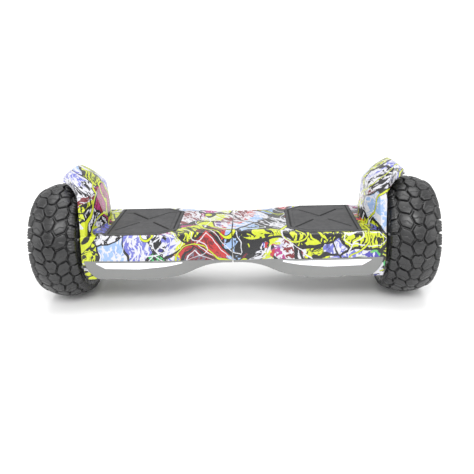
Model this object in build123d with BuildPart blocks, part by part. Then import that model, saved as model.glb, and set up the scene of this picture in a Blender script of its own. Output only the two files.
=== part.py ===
"""Self-balancing two-wheel board with off-road tyres, as an assembly of separate pieces.

Frame: X runs along the board from wheel to wheel, Y from front (-) to rear (+), Z up.
The origin is on the floor, midway between the wheels. Both halves turn about one line,
the axle line, which is parallel to X at the height of a wheel's radius.
Each handed piece is drawn for the right half (+X) and mirrored for the left.
"""

import os
from math import cos, pi, radians, sin, tan

from build123d import *

# ---------------------------------------------------------------- driving dimensions, mm
WHEEL_RADIUS = 108.0  # 8.5 inch tyre
TYRE_WIDTH = 86.0
BODY_END = 265.0  # from the board's middle to the end wall beside a wheel
WHEEL_GAP = 6.0  # between that wall and the tyre
HALF_GAP = 1.0  # from the middle plane to each half's inner wall
UPPER_WALL = 2.4
LOWER_WALL = 3.8  # the belly takes the knocks
FIT = 0.3  # running and seating clearance of moulded parts
BEARING_FIT = 0.05  # radial clearance of a turning shaft

AXLE_Z = WHEEL_RADIUS
WHEEL_X = BODY_END + WHEEL_GAP + TYRE_WIDTH / 2

# Heights of the body, from the axle line
DECK = 34.0
WIDEST = -9.0
BELLY = -47.5
WAIST_BELLY = -26.0
PARTING = -8.5
WAIST_PARTING = -21.0
PARTING_KNEE = -10.5

# Half depths of the body at its widest height, and where the waist ends along X
END_DEPTH = 88.0
WAIST_DEPTH = 66.0
WAIST_FLAT = 22.0
WAIST_END = BODY_END - 130.0
UPPER_LEAN = 10.5  # degrees, walls above the widest height
LOWER_LEAN = 12.0
DECK_ROUND = 4.0
BELLY_ROUND = 5.0
OVERRUN = 40.0  # how far a cutting or tapering form runs past what it shapes

# Skid: the low pad under each half
SKID_DROP = 2.5
SKID_START = BODY_END - 133.0
SKID_LENGTH = 60.0

# Cheek: the upper shell's end wall, which reaches down past the lower shell
CHEEK_TOP = 3.5  # its width along X at the parting height
CHEEK_MIDDLE = 7.0
CHEEK_FOOT = 26.0  # and at the belly
SEAM = 0.4

# Foot pad and its recess
PAD_OUTER = BODY_END - 39.0
PAD_LENGTH = 128.0
PAD_HALF = 75.0
PAD_CHAMFER_X = 32.0
PAD_CHAMFER_Y = 23.0
PAD_CORNER = 5.0
PAD_PROUD = 1.5
PAD_TRAVEL = 1.5
PAD_GAP = 0.5  # round its edge
RECESS = 5.0
RECESS_FLOOR = 2.5
PAD_RIM = 6.0
PAD_GROOVE = 1.0  # depth of the channel inside the rim
STUD_RADIUS = 5.0
STUD_SPREAD = 45.0
STUD_LENGTH = 6.5

# Fender
FENDER_FOOT = BODY_END - 33.0  # inner wall at deck height
FENDER_SHOULDER = BODY_END - 24.0
FENDER_CREST_X = BODY_END - 11.0
FENDER_RIDGE_X = BODY_END + 19.0
FENDER_LIP_X = BODY_END + 43.0
FENDER_RISE = 33.5  # ridge above the tyre
FENDER_CREST = 13.0  # crest above the tyre
FENDER_LIP = 14.0  # lip above the tyre
FENDER_SIDE = 66.0  # half width of its arch
FENDER_SPREAD = 78.0  # and at deck height
FENDER_FACE_Y = 15.0  # half width of its inner face, before the slanted corners
FENDER_CORNER_X = BODY_END - 7.0
FENDER_CORNER_Y = 80.0
FENDER_STRAIGHT = 95.0  # the arch's sides are upright above this height
FENDER_BEND_X = 16.0  # where the tongue's edge passes, from the end wall
FENDER_BEND_Y = 39.0
FENDER_TIP = 8.0  # half width at the lip
LIP_GAP = 8.0  # between tyre and lip

# Lamp in the front of the lower shell
LAMP_TOP = 4.8  # below the parting line
LAMP_DEEP = 14.0
LAMP_END_DEEP = 12.0
LAMP_TIP = 3.3  # the inner point, below its top line
LAMP_TIP_DEEP = 9.0
LAMP_BLUNT = 2.6  # height of the point's end
LAMP_ROUND = 0.9
LAMP_OUTER = BODY_END - 22.0
LAMP_SPAN = 154.0
LAMP_CUT = 17.0  # length of its slanted outer end
LAMP_POINT = 24.0
LENS_WALL = 2.0
LENS_LEDGE = 2.5
LAMP_BOARD_Y = -78.0
PEG_RADIUS = 2.0

# Chassis
PLATE_LOW = 10.0
PLATE = 5.0
PLATE_START = 30.0
PLATE_END = BODY_END - 13.0
PLATE_HALF = 74.0
PLATE_NECK = 48.0
NECK_END = BODY_END - 173.0
FLANGE_DROP = 16.0
FLANGE = 4.0
BAY_START = BODY_END - 153.0
BAY_LENGTH = 92.0
BAY_TOP = 4.0
STANDOFF_RADIUS = 4.0

# Centre shaft, its housings and the twist stop
SHAFT_RADIUS = 15.0
SHAFT_BORE = 9.0
HOUSING_RADIUS = 21.0
HOUSING_START = 3.0
HOUSING_LENGTH = 54.0
BUSH_RADIUS = 18.0
BUSH_LENGTH = 15.0
RETAINER = 3.5
RETAINER_RADIUS = 19.0
WASHER_RADIUS = 20.0
GRUB_RADIUS = 3.0
GRUB_DEPTH = 4.0
GRUB_SPACING = 22.0
STOP_HALF = 6.0
STOP_ANGLE = 10.0
STOP_GAP = 0.5
STOP_LOW = 23.0
STOP_TOP = 29.0
STOP_REACH = 12.0
STOP_POST = 6.0
HOLE_GAP = 1.0  # round the housing and the axle where they pass a wall

# Axle and clamp
AXLE_RADIUS = 8.0
CLAMP_START = BODY_END - 35.0
CLAMP_LENGTH = 22.0
CLAMP_HALF = 22.0
CLAMP_DEEP = 14.0
CLAMP_SPLIT = 0.3
CLAMP_BOLT = 3.0
CLAMP_HEAD = 5.0
CLAMP_HEAD_TALL = 4.0
CLAMP_PITCH_X = 11.0
CLAMP_PITCH_Y = 30.0

TREAD_BLOCKS = 32  # round the tyre, each with a flat face
TREAD_HALF = 18.0  # half width of the level crown

# Hub motor, lengths from the wheel's middle plane
RIM_HALF = 39.0
BEAD_RADIUS = 80.0
RIM_FLANGE = 3.0  # both its height and its width
RIM_WALL = 7.0
COVER = 3.0
BOSS_WALL = 4.0
MAGNET = 3.0
MAGNET_BACK = 1.5
MAGNETS = 28
AIR_GAP = 0.7
STACK_HALF = 14.0
TEETH = 27
CORE_RADIUS = 40.0
CORE_BACK = 8.0
TOOTH = 3.5
TOOTH_TIP = 2.0
TIP_GAP = 2.5
COIL_RISE = 6.0
CARRIER_WEB = 5.0
CARRIER_HUB = 13.0
INNER_BEARING = (17.0, 10.0)  # outer radius, width
OUTER_BEARING = (16.0, 9.0)
COVER_SCREWS = 9
POCKET_CIRCLE = 49.0  # radial recesses between the cover's ribs
POCKET_LENGTH = 24.0
POCKET_RADIUS = 6.0
POCKET_DEPTH = 1.4

# Pack and boards
PACK_HALF = 66.0
PACK_TALL = 46.0
PACK_ROUND = 4.0
BOARD = 1.6
BOARD_HALF = 60.0
SENSOR_STANDOFF = 3.0
SENSOR_TALL = 2.6
SENSOR_SIZE = 14.0
SINK_TALL = 14.0
CAPACITOR_RADIUS = 9.0
CAPACITOR_TALL = 26.0
CABLE_RADIUS = 4.0

# Rear panel, on the right half only
PANEL_X = BODY_END - 90.0
PANEL_LONG = 56.0
PANEL_Z = -25.0
PANEL_TALL = 26.0
PANEL_FACE = 77.0
PANEL = 4.0
PANEL_WALL = 2.0
PORT_RADIUS = 6.0
PORT_WALL = 2.0
PORT_DEPTH = 12.0
PORT_FLANGE = 0.8
PORT_X = PANEL_X - 12.0
CAP_RADIUS = 8.0
CAP = 1.8
PLUG_RADIUS = 5.2
PLUG_DEPTH = 2.0
KNUCKLE_RADIUS = 1.5
TRUNNION_RADIUS = 1.0
KNUCKLE_HALF = 4.7
LUG = 2.0
BUTTON_X = PANEL_X + 14.0
BUTTON_RADIUS = 6.0
BUTTON_PROUD = 2.5
BUTTON_FLANGE = 1.5

# Screws that clamp lower shell, chassis and upper shell together
SCREW_X = (BODY_END - 167.0, BODY_END - 51.0)
SCREW_Y = 56.0
SCREW_RADIUS = 2.0
SCREW_HEAD = 3.8
SCREW_HEAD_TALL = 3.0
COLUMN_RADIUS = 6.0
COLUMN_NECK = 8.0
SCREW_END = 24.0

AXLE_LINE = Axis((0, 0, AXLE_Z), (1, 0, 0))
FRONT_VIEW = Plane((0, 0, AXLE_Z), x_dir=(1, 0, 0), z_dir=(0, -1, 0))  # local x is X, y is Z
END_VIEW = Plane((0, 0, AXLE_Z), x_dir=(0, 1, 0), z_dir=(1, 0, 0))  # local x is Y, y is Z


def level(z):
    """Horizontal plane at a height from the axle line."""
    return Plane((0, 0, AXLE_Z + z))


def below(z):
    """The same, facing down."""
    return Plane((0, 0, AXLE_Z + z), x_dir=(1, 0, 0), z_dir=(0, 0, -1))


def across(x):
    """Plane square to the axle line at a distance from the middle."""
    return Plane((x, 0, AXLE_Z), x_dir=(0, 1, 0), z_dir=(1, 0, 0))


def save(part, name):
    part.label = name
    export_step(part, f"parts/{name}.step")


def save_pair(part, name):
    """Writes the right-hand piece and its mirror image."""
    save(part, f"right_{name}")
    save(mirror(part, about=Plane.YZ), f"left_{name}")


def outline(plane, *points):
    """Face inside a closed run of straight lines on a plane."""
    with BuildSketch(plane) as sketch:
        with BuildLine():
            Polyline(*points, close=True)
        make_face()
    return sketch.sketch


def s_curve(start, end):
    """Two equal tangent arcs, level at both ends."""
    middle = ((start[0] + end[0]) / 2, (start[1] + end[1]) / 2)
    first = TangentArc(start, middle, tangent=(1, 0))
    TangentArc(middle, end, tangent=first % 1)


# ---------------------------------------------------------------- outer form of one half
def plan_outline(plane, inset):
    """Plan of the body at its widest height, run past both ends."""
    waist, full = WAIST_DEPTH - inset, END_DEPTH - inset
    with BuildSketch(plane) as sketch:
        with BuildLine():
            Line((-OVERRUN, waist), (WAIST_FLAT, waist))
            s_curve((WAIST_FLAT, waist), (WAIST_END, full))
            Line((WAIST_END, full), (BODY_END + OVERRUN, full))
            Line((BODY_END + OVERRUN, full), (BODY_END + OVERRUN, 0))
            Line((-OVERRUN, waist), (-OVERRUN, 0))
            mirror(about=Plane.XZ)
        make_face()
    return sketch.sketch


def front_outline(inset):
    """The body seen from the front: level deck, belly arched up to the waist, and the skid."""
    low, waist, top = BELLY + inset, WAIST_BELLY + inset, DECK - inset
    start, end = HALF_GAP + inset, BODY_END - inset
    skid_end = SKID_START + SKID_LENGTH
    with BuildSketch(FRONT_VIEW) as sketch:
        with BuildLine():
            Line((start, top), (start, waist))
            Line((start, waist), (WAIST_FLAT / 2, waist))
            s_curve((WAIST_FLAT / 2, waist), (SKID_START - 2 * SKID_DROP, low))
            Polyline(
                (SKID_START - 2 * SKID_DROP, low),
                (SKID_START, low - SKID_DROP),
                (skid_end, low - SKID_DROP),
                (skid_end + 2 * SKID_DROP, low),
                (end, low),
                (end, top),
                (start, top),
            )
        make_face()
    return sketch.sketch


def leaning_walls(inset, height, lean):
    """Block whose walls lean inward from the widest height to another height."""
    shift = inset + abs(height - WIDEST) * tan(radians(lean))
    walls = [plan_outline(level(WIDEST), inset), plan_outline(level(height), shift)]
    return loft(walls, ruled=True, mode=Mode.PRIVATE)


def body_form(inset, deck_round):
    """Closed form of one half's body, its walls moved in by inset."""
    with BuildPart() as form:
        add(leaning_walls(inset, DECK - inset, UPPER_LEAN))
        add(leaning_walls(inset, BELLY - SKID_DROP + inset, LOWER_LEAN))
        extrude(front_outline(inset), amount=END_DEPTH + OVERRUN, both=True, mode=Mode.INTERSECT)
        deck = form.faces().sort_by(Axis.Z)[-1]
        fillet([e for e in deck.edges() if abs((e % 0.5).Y) < 0.9], deck_round)
    return form.part


# ---------------------------------------------------------------- fender
def fender_section(inset):
    """Region under the fender's roof, in a half plane through the axle line."""
    ridge = WHEEL_RADIUS + FENDER_RISE - inset
    with BuildSketch(FRONT_VIEW) as sketch:
        with BuildLine():
            Polyline(
                (FENDER_FOOT + inset, 0),
                (FENDER_FOOT + inset, DECK),
                (FENDER_SHOULDER + inset, WHEEL_RADIUS - 2 * inset),
                (FENDER_CREST_X + inset, WHEEL_RADIUS + FENDER_CREST - inset),
            )
            RadiusArc(
                (FENDER_CREST_X + inset, WHEEL_RADIUS + FENDER_CREST - inset),
                (FENDER_RIDGE_X, ridge),
                3 * FENDER_RISE,
            )
            RadiusArc(
                (FENDER_RIDGE_X, ridge),
                (FENDER_LIP_X - inset, WHEEL_RADIUS + FENDER_LIP - inset),
                2 * FENDER_RISE,
            )
            Polyline(
                (FENDER_LIP_X - inset, WHEEL_RADIUS + FENDER_LIP - inset),
                (FENDER_LIP_X - inset, 0),
                (FENDER_FOOT + inset, 0),
            )
        make_face()
    return sketch.sketch


def fender_plan(inset):
    """Plan of the fender: slanted inner corners, full width at the end wall, a tongue over the tyre."""
    side, tip = FENDER_SIDE - inset, FENDER_TIP - inset
    wide = END_DEPTH + OVERRUN
    with BuildSketch(Plane.XY) as sketch:
        with BuildLine():
            Polyline(
                (FENDER_FOOT + inset, 0),
                (FENDER_FOOT + inset, FENDER_FACE_Y),
                (FENDER_CORNER_X + inset, FENDER_CORNER_Y),
                (FENDER_CORNER_X + inset, wide),
                (BODY_END, wide),
                (BODY_END, side),
            )
            ThreePointArc(
                (BODY_END, side),
                (BODY_END + FENDER_BEND_X - inset, FENDER_BEND_Y - inset),
                (FENDER_LIP_X, tip),
            )
            Line((FENDER_LIP_X, tip), (FENDER_LIP_X, 0))
            mirror(about=Plane.XZ)
        make_face()
    return sketch.sketch


def fender_form(inset):
    """Closed form of the fender, its walls moved in by inset."""
    foot, side, top = FENDER_SPREAD - inset, FENDER_SIDE - inset, 2 * WHEEL_RADIUS
    with BuildPart() as form:
        revolve(fender_section(inset), axis=AXLE_LINE, revolution_arc=360)
        arch = outline(
            END_VIEW,
            (-foot, DECK - RECESS),
            (-side, FENDER_STRAIGHT),
            (-side, top),
            (side, top),
            (side, FENDER_STRAIGHT),
            (foot, DECK - RECESS),
        )
        extrude(arch, amount=FENDER_LIP_X + OVERRUN, mode=Mode.INTERSECT)
        extrude(fender_plan(inset), amount=2 * top, mode=Mode.INTERSECT)
    return form.part


def wheel_well():
    """Space the wheel turns in: under the fender's roof and clear of its lip."""
    with BuildPart() as well:
        with BuildSketch(across(BODY_END)):
            Circle(WHEEL_RADIUS + LIP_GAP)
        extrude(amount=2 * TYRE_WIDTH)
        add(fender_form(UPPER_WALL))
        with BuildSketch(across(BODY_END)):
            Rectangle(6 * WHEEL_RADIUS, 6 * WHEEL_RADIUS)
        extrude(amount=-2 * BODY_END, mode=Mode.SUBTRACT)
    return well.part


def fender_hollow():
    """Space inside the fender's foot, open to the inside of the body."""
    with BuildPart() as hollow:
        add(fender_form(UPPER_WALL))
        with BuildSketch(across(BODY_END - UPPER_WALL)):
            Rectangle(6 * WHEEL_RADIUS, 6 * WHEEL_RADIUS)
        extrude(amount=2 * TYRE_WIDTH, mode=Mode.SUBTRACT)
    return hollow.part


# ---------------------------------------------------------------- shells
def upper_region(shift):
    """What belongs to the upper shell: above the parting line, and the cheek beside the wheel."""
    foot = BODY_END - CHEEK_FOOT - shift
    with BuildSketch(FRONT_VIEW) as sketch:
        with BuildLine():
            Line((-1, WAIST_PARTING - shift), (WAIST_FLAT / 2, WAIST_PARTING - shift))
            s_curve((WAIST_FLAT / 2, WAIST_PARTING - shift), (WAIST_END, PARTING_KNEE - shift))
            Line((WAIST_END, PARTING_KNEE - shift), (BODY_END - CHEEK_TOP - shift, PARTING - shift))
            ThreePointArc(
                (BODY_END - CHEEK_TOP - shift, PARTING - shift),
                (BODY_END - CHEEK_MIDDLE - shift, (PARTING + BELLY) / 2),
                (foot, BELLY - SKID_DROP),
            )
            Polyline(
                (foot, BELLY - SKID_DROP),
                (foot, BELLY - OVERRUN),
                (FENDER_LIP_X + OVERRUN, BELLY - OVERRUN),
                (FENDER_LIP_X + OVERRUN, 2 * WHEEL_RADIUS),
                (-1, 2 * WHEEL_RADIUS),
                (-1, WAIST_PARTING - shift),
            )
        make_face()
    return extrude(sketch.sketch, amount=END_DEPTH + OVERRUN, both=True, mode=Mode.PRIVATE)


def pad_outline(plane, grow):
    """Plan of the foot pad, or of its recess when grown."""
    inner = PAD_OUTER - PAD_LENGTH
    with BuildSketch(plane) as sketch:
        with BuildLine():
            Polyline(
                (PAD_OUTER, 0),
                (PAD_OUTER, PAD_HALF),
                (inner + PAD_CHAMFER_X, PAD_HALF),
                (inner, PAD_HALF - PAD_CHAMFER_Y),
                (inner, 0),
            )
            mirror(about=Plane.XZ)
        make_face()
        fillet(sketch.vertices().filter_by(lambda v: abs(v.Y) > 1), PAD_CORNER)
        offset(amount=grow)
    return sketch.sketch


def end_wall_opening():
    """Hole through the inner end wall for the shaft housing and the twist stop."""
    with BuildSketch(across(-HALF_GAP)) as sketch:
        Circle(HOUSING_RADIUS + HOLE_GAP)
        with Locations((0, STOP_TOP / 2)):
            Rectangle(2 * (stop_face() + STOP_POST + HOLE_GAP), STOP_TOP + 2 * HOLE_GAP)
    return extrude(sketch.sketch, amount=3 * HALF_GAP + LOWER_WALL, mode=Mode.PRIVATE)


def stop_face():
    """Distance of a stop post from the middle, so that the finger meets it just past the angle."""
    return STOP_HALF + STOP_TOP * sin(radians(STOP_ANGLE)) + STOP_GAP


def screw_spots():
    return Locations(*[(x, y) for x in SCREW_X for y in (-SCREW_Y, SCREW_Y)])


def stud_spots():
    x = PAD_OUTER - PAD_LENGTH / 2
    return Locations((x, -STUD_SPREAD), (x, STUD_SPREAD))


def upper_shell(outer, inner, fender):
    with BuildPart() as shell:
        add(outer)
        add(inner, mode=Mode.SUBTRACT)
        add(fender)
        add(fender_hollow(), mode=Mode.SUBTRACT)
        add(wheel_well(), mode=Mode.SUBTRACT)
        add(upper_region(0), mode=Mode.INTERSECT)
        floor_low = DECK - RECESS - RECESS_FLOOR
        extrude(pad_outline(level(floor_low), PAD_GAP + UPPER_WALL), amount=RECESS + RECESS_FLOOR - 1)
        with BuildSketch(level(PLATE_LOW + PLATE)):
            with screw_spots():
                Circle(COLUMN_RADIUS)
        extrude(amount=floor_low - PLATE_LOW - PLATE)
        add(outer + fender, mode=Mode.INTERSECT)
        extrude(pad_outline(level(DECK - RECESS), PAD_GAP), amount=2 * RECESS, mode=Mode.SUBTRACT)
        with BuildSketch(level(floor_low)):
            with stud_spots():
                Circle(STUD_RADIUS + 2 * PAD_GAP)
        extrude(amount=RECESS, mode=Mode.SUBTRACT)
        with BuildSketch(level(PLATE_LOW + PLATE)):
            with screw_spots():
                Circle(SCREW_RADIUS)
        extrude(amount=SCREW_END - PLATE_LOW - PLATE, mode=Mode.SUBTRACT)
        add(end_wall_opening(), mode=Mode.SUBTRACT)
        with BuildSketch(across(BODY_END - 2 * UPPER_WALL)):
            Circle(AXLE_RADIUS + HOLE_GAP)
        extrude(amount=3 * UPPER_WALL, mode=Mode.SUBTRACT)
    return shell.part


def lamp_outline(grow):
    """Front view of the lamp, cut off at a slant outboard and drawn to a point inboard."""
    top = PARTING - LAMP_TOP
    inner = LAMP_OUTER - LAMP_SPAN
    with BuildSketch(FRONT_VIEW) as sketch:
        with BuildLine():
            Polyline(
                (LAMP_OUTER, top),
                (LAMP_OUTER - LAMP_CUT, top - LAMP_END_DEEP),
                (inner + LAMP_SPAN / 2, top - LAMP_DEEP),
                (inner + LAMP_POINT, top - LAMP_TIP_DEEP),
                (inner, top - LAMP_TIP - LAMP_BLUNT),
                (inner, top - LAMP_TIP),
                (WAIST_END, top - LAMP_TIP / 3),
                close=True,
            )
        make_face()
        fillet(sketch.vertices(), LAMP_ROUND)
        offset(amount=grow)
    return extrude(sketch.sketch, amount=END_DEPTH + OVERRUN, mode=Mode.PRIVATE)


def lamp_lens(outer, behind):
    with BuildPart() as lens:
        add(lamp_outline(0))
        add(outer, mode=Mode.INTERSECT)
        add(behind, mode=Mode.SUBTRACT)
        with BuildSketch(Plane((0, LAMP_BOARD_Y, AXLE_Z), x_dir=(1, 0, 0), z_dir=(0, -1, 0))):
            with peg_spots():
                Circle(PEG_RADIUS)
        extrude(amount=END_DEPTH - LENS_WALL + LAMP_BOARD_Y - 2)
    return lens.part


def peg_spots():
    z = PARTING - LAMP_TOP - LAMP_END_DEEP / 2
    return Locations((LAMP_OUTER - 3 * LAMP_CUT, z), (LAMP_OUTER - LAMP_SPAN / 2, z))


def lamp_board():
    with BuildPart() as board:
        start, end = LAMP_OUTER - LAMP_SPAN * 2 / 3, LAMP_OUTER - LAMP_CUT
        z = PARTING - LAMP_TOP - LAMP_END_DEEP / 2
        plane = Plane((0, LAMP_BOARD_Y, AXLE_Z), x_dir=(1, 0, 0), z_dir=(0, -1, 0))
        with BuildSketch(plane):
            with Locations(((start + end) / 2, z)):
                Rectangle(end - start, LAMP_END_DEEP * 3 / 4)
        extrude(amount=-BOARD)
        with BuildSketch(plane):
            with Locations(((start + end) / 2, z - 2 * PEG_RADIUS)):
                with GridLocations((end - start) / 8, 1, 8, 1):
                    Rectangle(5, 3)
        extrude(amount=1)
    return board.part


def panel_box(inset, back):
    """Block in the rear panel's outline, from its back outward."""
    with BuildSketch(Plane((0, back, AXLE_Z), x_dir=(-1, 0, 0), z_dir=(0, 1, 0))) as sketch:
        with Locations((-PANEL_X, PANEL_Z)):
            Rectangle(PANEL_LONG - 2 * inset, PANEL_TALL - 2 * inset)
    return extrude(sketch.sketch, amount=OVERRUN, mode=Mode.PRIVATE)


def column_sketch(plane, radius, side):
    """Circles at the screws, on a plane that faces up (side 1) or down (side -1)."""
    with BuildSketch(plane) as sketch:
        with Locations(*[(x, side * y) for x in SCREW_X for y in (-SCREW_Y, SCREW_Y)]):
            Circle(radius)
    return sketch.sketch


def screw_columns(outer, depth):
    """Columns from the chassis down to the belly."""
    with BuildPart() as columns:
        extrude(column_sketch(below(PLATE_LOW), COLUMN_RADIUS, -1), amount=depth)
        add(outer, mode=Mode.INTERSECT)
    return columns.part


def lower_shell(outer, inner, behind, with_panel):
    depth = PLATE_LOW - BELLY + SKID_DROP
    with BuildPart() as shell:
        add(outer - inner - upper_region(0) - upper_region(SEAM))
        add(lamp_outline(SEAM) - behind, mode=Mode.SUBTRACT)
        add(lamp_outline(-LENS_LEDGE), mode=Mode.SUBTRACT)
        add(screw_columns(outer, depth))
        extrude(column_sketch(below(PLATE_LOW), SCREW_RADIUS, -1), amount=depth, mode=Mode.SUBTRACT)
        head = below(PLATE_LOW - COLUMN_NECK)
        extrude(column_sketch(head, SCREW_HEAD + PAD_GAP, -1), amount=depth, mode=Mode.SUBTRACT)
        add(end_wall_opening(), mode=Mode.SUBTRACT)
        if with_panel:
            add(panel_box(0, PANEL_FACE - PANEL), mode=Mode.SUBTRACT)
    return shell.part


def shell_screws():
    low = PLATE_LOW - COLUMN_NECK
    with BuildPart() as screws:
        extrude(column_sketch(level(low), SCREW_RADIUS, 1), amount=SCREW_END - 1 - low)
        extrude(column_sketch(below(low), SCREW_HEAD, -1), amount=SCREW_HEAD_TALL)
    return screws.part


def foot_pad():
    low, top = DECK - RECESS + PAD_TRAVEL, DECK + PAD_PROUD
    with BuildPart() as pad:
        extrude(pad_outline(level(low), 0), amount=top - low)
        chamfer(pad.faces().sort_by(Axis.Z)[-1].edges(), 1.0)
        extrude(
            pad_outline(level(top), -PAD_RIM) - pad_outline(level(top), -PAD_RIM - 2 * PAD_GROOVE),
            amount=-PAD_GROOVE,
            mode=Mode.SUBTRACT,
        )
        with BuildSketch(level(low)):
            with stud_spots():
                Circle(STUD_RADIUS)
        extrude(amount=-STUD_LENGTH)
    return pad.part


# ---------------------------------------------------------------- chassis, shaft and clamp
def chassis(bore):
    """Cast frame of one half, its shaft housing bored to a radius."""
    with BuildPart() as casting:
        plate = outline(
            level(PLATE_LOW),
            (PLATE_START, -PLATE_NECK),
            (NECK_END, -PLATE_NECK),
            (NECK_END + FLANGE_DROP, -PLATE_HALF),
            (PLATE_END, -PLATE_HALF),
            (PLATE_END, PLATE_HALF),
            (NECK_END + FLANGE_DROP, PLATE_HALF),
            (NECK_END, PLATE_NECK),
            (PLATE_START, PLATE_NECK),
        )
        extrude(plate, amount=PLATE)
        long = PLATE_END - NECK_END - FLANGE_DROP
        with BuildSketch(below(PLATE_LOW)):
            with Locations((PLATE_END - long / 2, 0)):
                with GridLocations(1, 2 * PLATE_HALF - FLANGE, 1, 2):
                    Rectangle(long, FLANGE)
        extrude(amount=FLANGE_DROP)
        with BuildSketch(below(PLATE_LOW)):
            with board_spots():
                Circle(STANDOFF_RADIUS)
        extrude(amount=PLATE_LOW - BAY_TOP)
        with BuildSketch(level(PLATE_LOW + PLATE)):
            with board_spots():
                Circle(STANDOFF_RADIUS)
        extrude(amount=SENSOR_STANDOFF)
        with BuildSketch(across(HOUSING_START)):
            Circle(HOUSING_RADIUS)
        extrude(amount=HOUSING_LENGTH)
        with BuildSketch(below(PLATE_LOW)):
            with Locations((CLAMP_START + CLAMP_LENGTH / 2, 0)):
                Rectangle(CLAMP_LENGTH, 2 * CLAMP_HALF)
        extrude(amount=PLATE_LOW - CLAMP_SPLIT)
        with BuildSketch(across(HOUSING_START - 1)):
            Circle(bore)
        extrude(amount=HOUSING_LENGTH + 2, mode=Mode.SUBTRACT)
        with BuildSketch(across(HOUSING_START + HOUSING_LENGTH)):
            Circle(RETAINER_RADIUS + HOLE_GAP)
        extrude(amount=3 * RETAINER, mode=Mode.SUBTRACT)
        with BuildSketch(across(CLAMP_START - 1)):
            Circle(AXLE_RADIUS)
        extrude(amount=CLAMP_LENGTH + 2, mode=Mode.SUBTRACT)
        with BuildSketch(level(-CLAMP_DEEP)):
            with clamp_spots():
                Circle(CLAMP_BOLT)
        extrude(amount=CLAMP_DEEP + PLATE_LOW + PLATE - 1, mode=Mode.SUBTRACT)
        extrude(
            column_sketch(level(PLATE_LOW - 1), SCREW_RADIUS, 1), amount=PLATE + 2, mode=Mode.SUBTRACT
        )
    return casting.part


def board_spots():
    """Corners where the boards stand off the chassis plate."""
    x = BAY_START + BAY_LENGTH / 2
    dx, dy = BAY_LENGTH / 2 - 2 * STANDOFF_RADIUS, BOARD_HALF - 2 * STANDOFF_RADIUS
    return Locations((x - dx, -dy), (x - dx, dy), (x + dx, -dy), (x + dx, dy))


def clamp_spots():
    x, dx, dy = CLAMP_START + CLAMP_LENGTH / 2, CLAMP_PITCH_X / 2, CLAMP_PITCH_Y / 2
    return Locations((x - dx, -dy), (x - dx, dy), (x + dx, -dy), (x + dx, dy))


def axle_clamp():
    with BuildPart() as clamp:
        with BuildSketch(below(-CLAMP_SPLIT)):
            with Locations((CLAMP_START + CLAMP_LENGTH / 2, 0)):
                Rectangle(CLAMP_LENGTH, 2 * CLAMP_HALF)
        extrude(amount=CLAMP_DEEP - CLAMP_SPLIT)
        with BuildSketch(across(CLAMP_START - 1)):
            Circle(AXLE_RADIUS)
        extrude(amount=CLAMP_LENGTH + 2, mode=Mode.SUBTRACT)
        with BuildSketch(level(-CLAMP_DEEP)):
            with clamp_spots():
                Circle(CLAMP_BOLT)
        extrude(amount=CLAMP_DEEP, mode=Mode.SUBTRACT)
    return clamp.part


def clamp_bolts():
    with BuildPart() as bolts:
        with BuildSketch(level(-CLAMP_DEEP)):
            with clamp_spots():
                Circle(CLAMP_BOLT)
        extrude(amount=CLAMP_DEEP + PLATE_LOW + PLATE - 2)
        with BuildSketch(level(-CLAMP_DEEP)):
            with clamp_spots():
                RegularPolygon(CLAMP_HEAD, 6)
        extrude(amount=-CLAMP_HEAD_TALL)
    return bolts.part


def chassis_with_posts():
    """Right casting: bushed housing, with two posts for the stop finger to meet."""
    with BuildPart() as casting:
        add(chassis(BUSH_RADIUS))
        with BuildSketch(across(HOUSING_START)):
            with Locations((0, (STOP_TOP + SHAFT_RADIUS) / 2)):
                with GridLocations(2 * stop_face() + STOP_POST, 1, 2, 1):
                    Rectangle(STOP_POST, STOP_TOP - SHAFT_RADIUS)
        extrude(amount=STOP_REACH)
        with BuildSketch(across(HOUSING_START - 1)):
            Circle(BUSH_RADIUS)
        extrude(amount=HOUSING_LENGTH + 2, mode=Mode.SUBTRACT)
    return casting.part


def chassis_with_finger():
    """Left casting, drawn on the right: it grips the shaft and carries the stop finger."""
    with BuildPart() as casting:
        add(chassis(SHAFT_RADIUS))
        with BuildSketch(across(STOP_REACH)):
            with Locations((0, (STOP_TOP + STOP_LOW) / 2)):
                Rectangle(2 * STOP_HALF, STOP_TOP - STOP_LOW)
        extrude(amount=-2 * STOP_REACH)
        with BuildSketch(across(STOP_REACH)):
            with Locations((0, (STOP_TOP + SHAFT_RADIUS) / 2)):
                Rectangle(2 * STOP_HALF, STOP_TOP - SHAFT_RADIUS)
        extrude(amount=HOUSING_START - STOP_REACH)
        with BuildSketch(across(HOUSING_START - 1)):
            Circle(SHAFT_RADIUS)
        extrude(amount=HOUSING_LENGTH + 2, mode=Mode.SUBTRACT)
        add(grub_screws(), mode=Mode.SUBTRACT)
    return casting.part


def grub_screws():
    with BuildPart() as screws:
        with BuildSketch(level(SHAFT_RADIUS - GRUB_DEPTH)):
            with Locations((HOUSING_START + HOUSING_LENGTH / 2, 0)):
                with GridLocations(GRUB_SPACING, 1, 2, 1):
                    Circle(GRUB_RADIUS)
        extrude(amount=HOUSING_RADIUS - SHAFT_RADIUS + GRUB_DEPTH)
    return screws.part


def centre_shaft():
    """Tube fixed in the left housing, turning in the right one's bushes."""
    reach = HOUSING_START + HOUSING_LENGTH
    with BuildPart() as shaft:
        with BuildSketch(across(-reach)):
            Circle(SHAFT_RADIUS)
            Circle(SHAFT_BORE, mode=Mode.SUBTRACT)
        extrude(amount=2 * reach + RETAINER + 2)
        add(mirror(grub_screws(), about=Plane.YZ, mode=Mode.PRIVATE), mode=Mode.SUBTRACT)
    return shaft.part


def ring(start, length, outer, bore):
    """Plain ring about the axle line."""
    with BuildSketch(across(start)) as sketch:
        Circle(outer)
        if bore:
            Circle(bore, mode=Mode.SUBTRACT)
    return extrude(sketch.sketch, amount=length, mode=Mode.PRIVATE)


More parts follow.
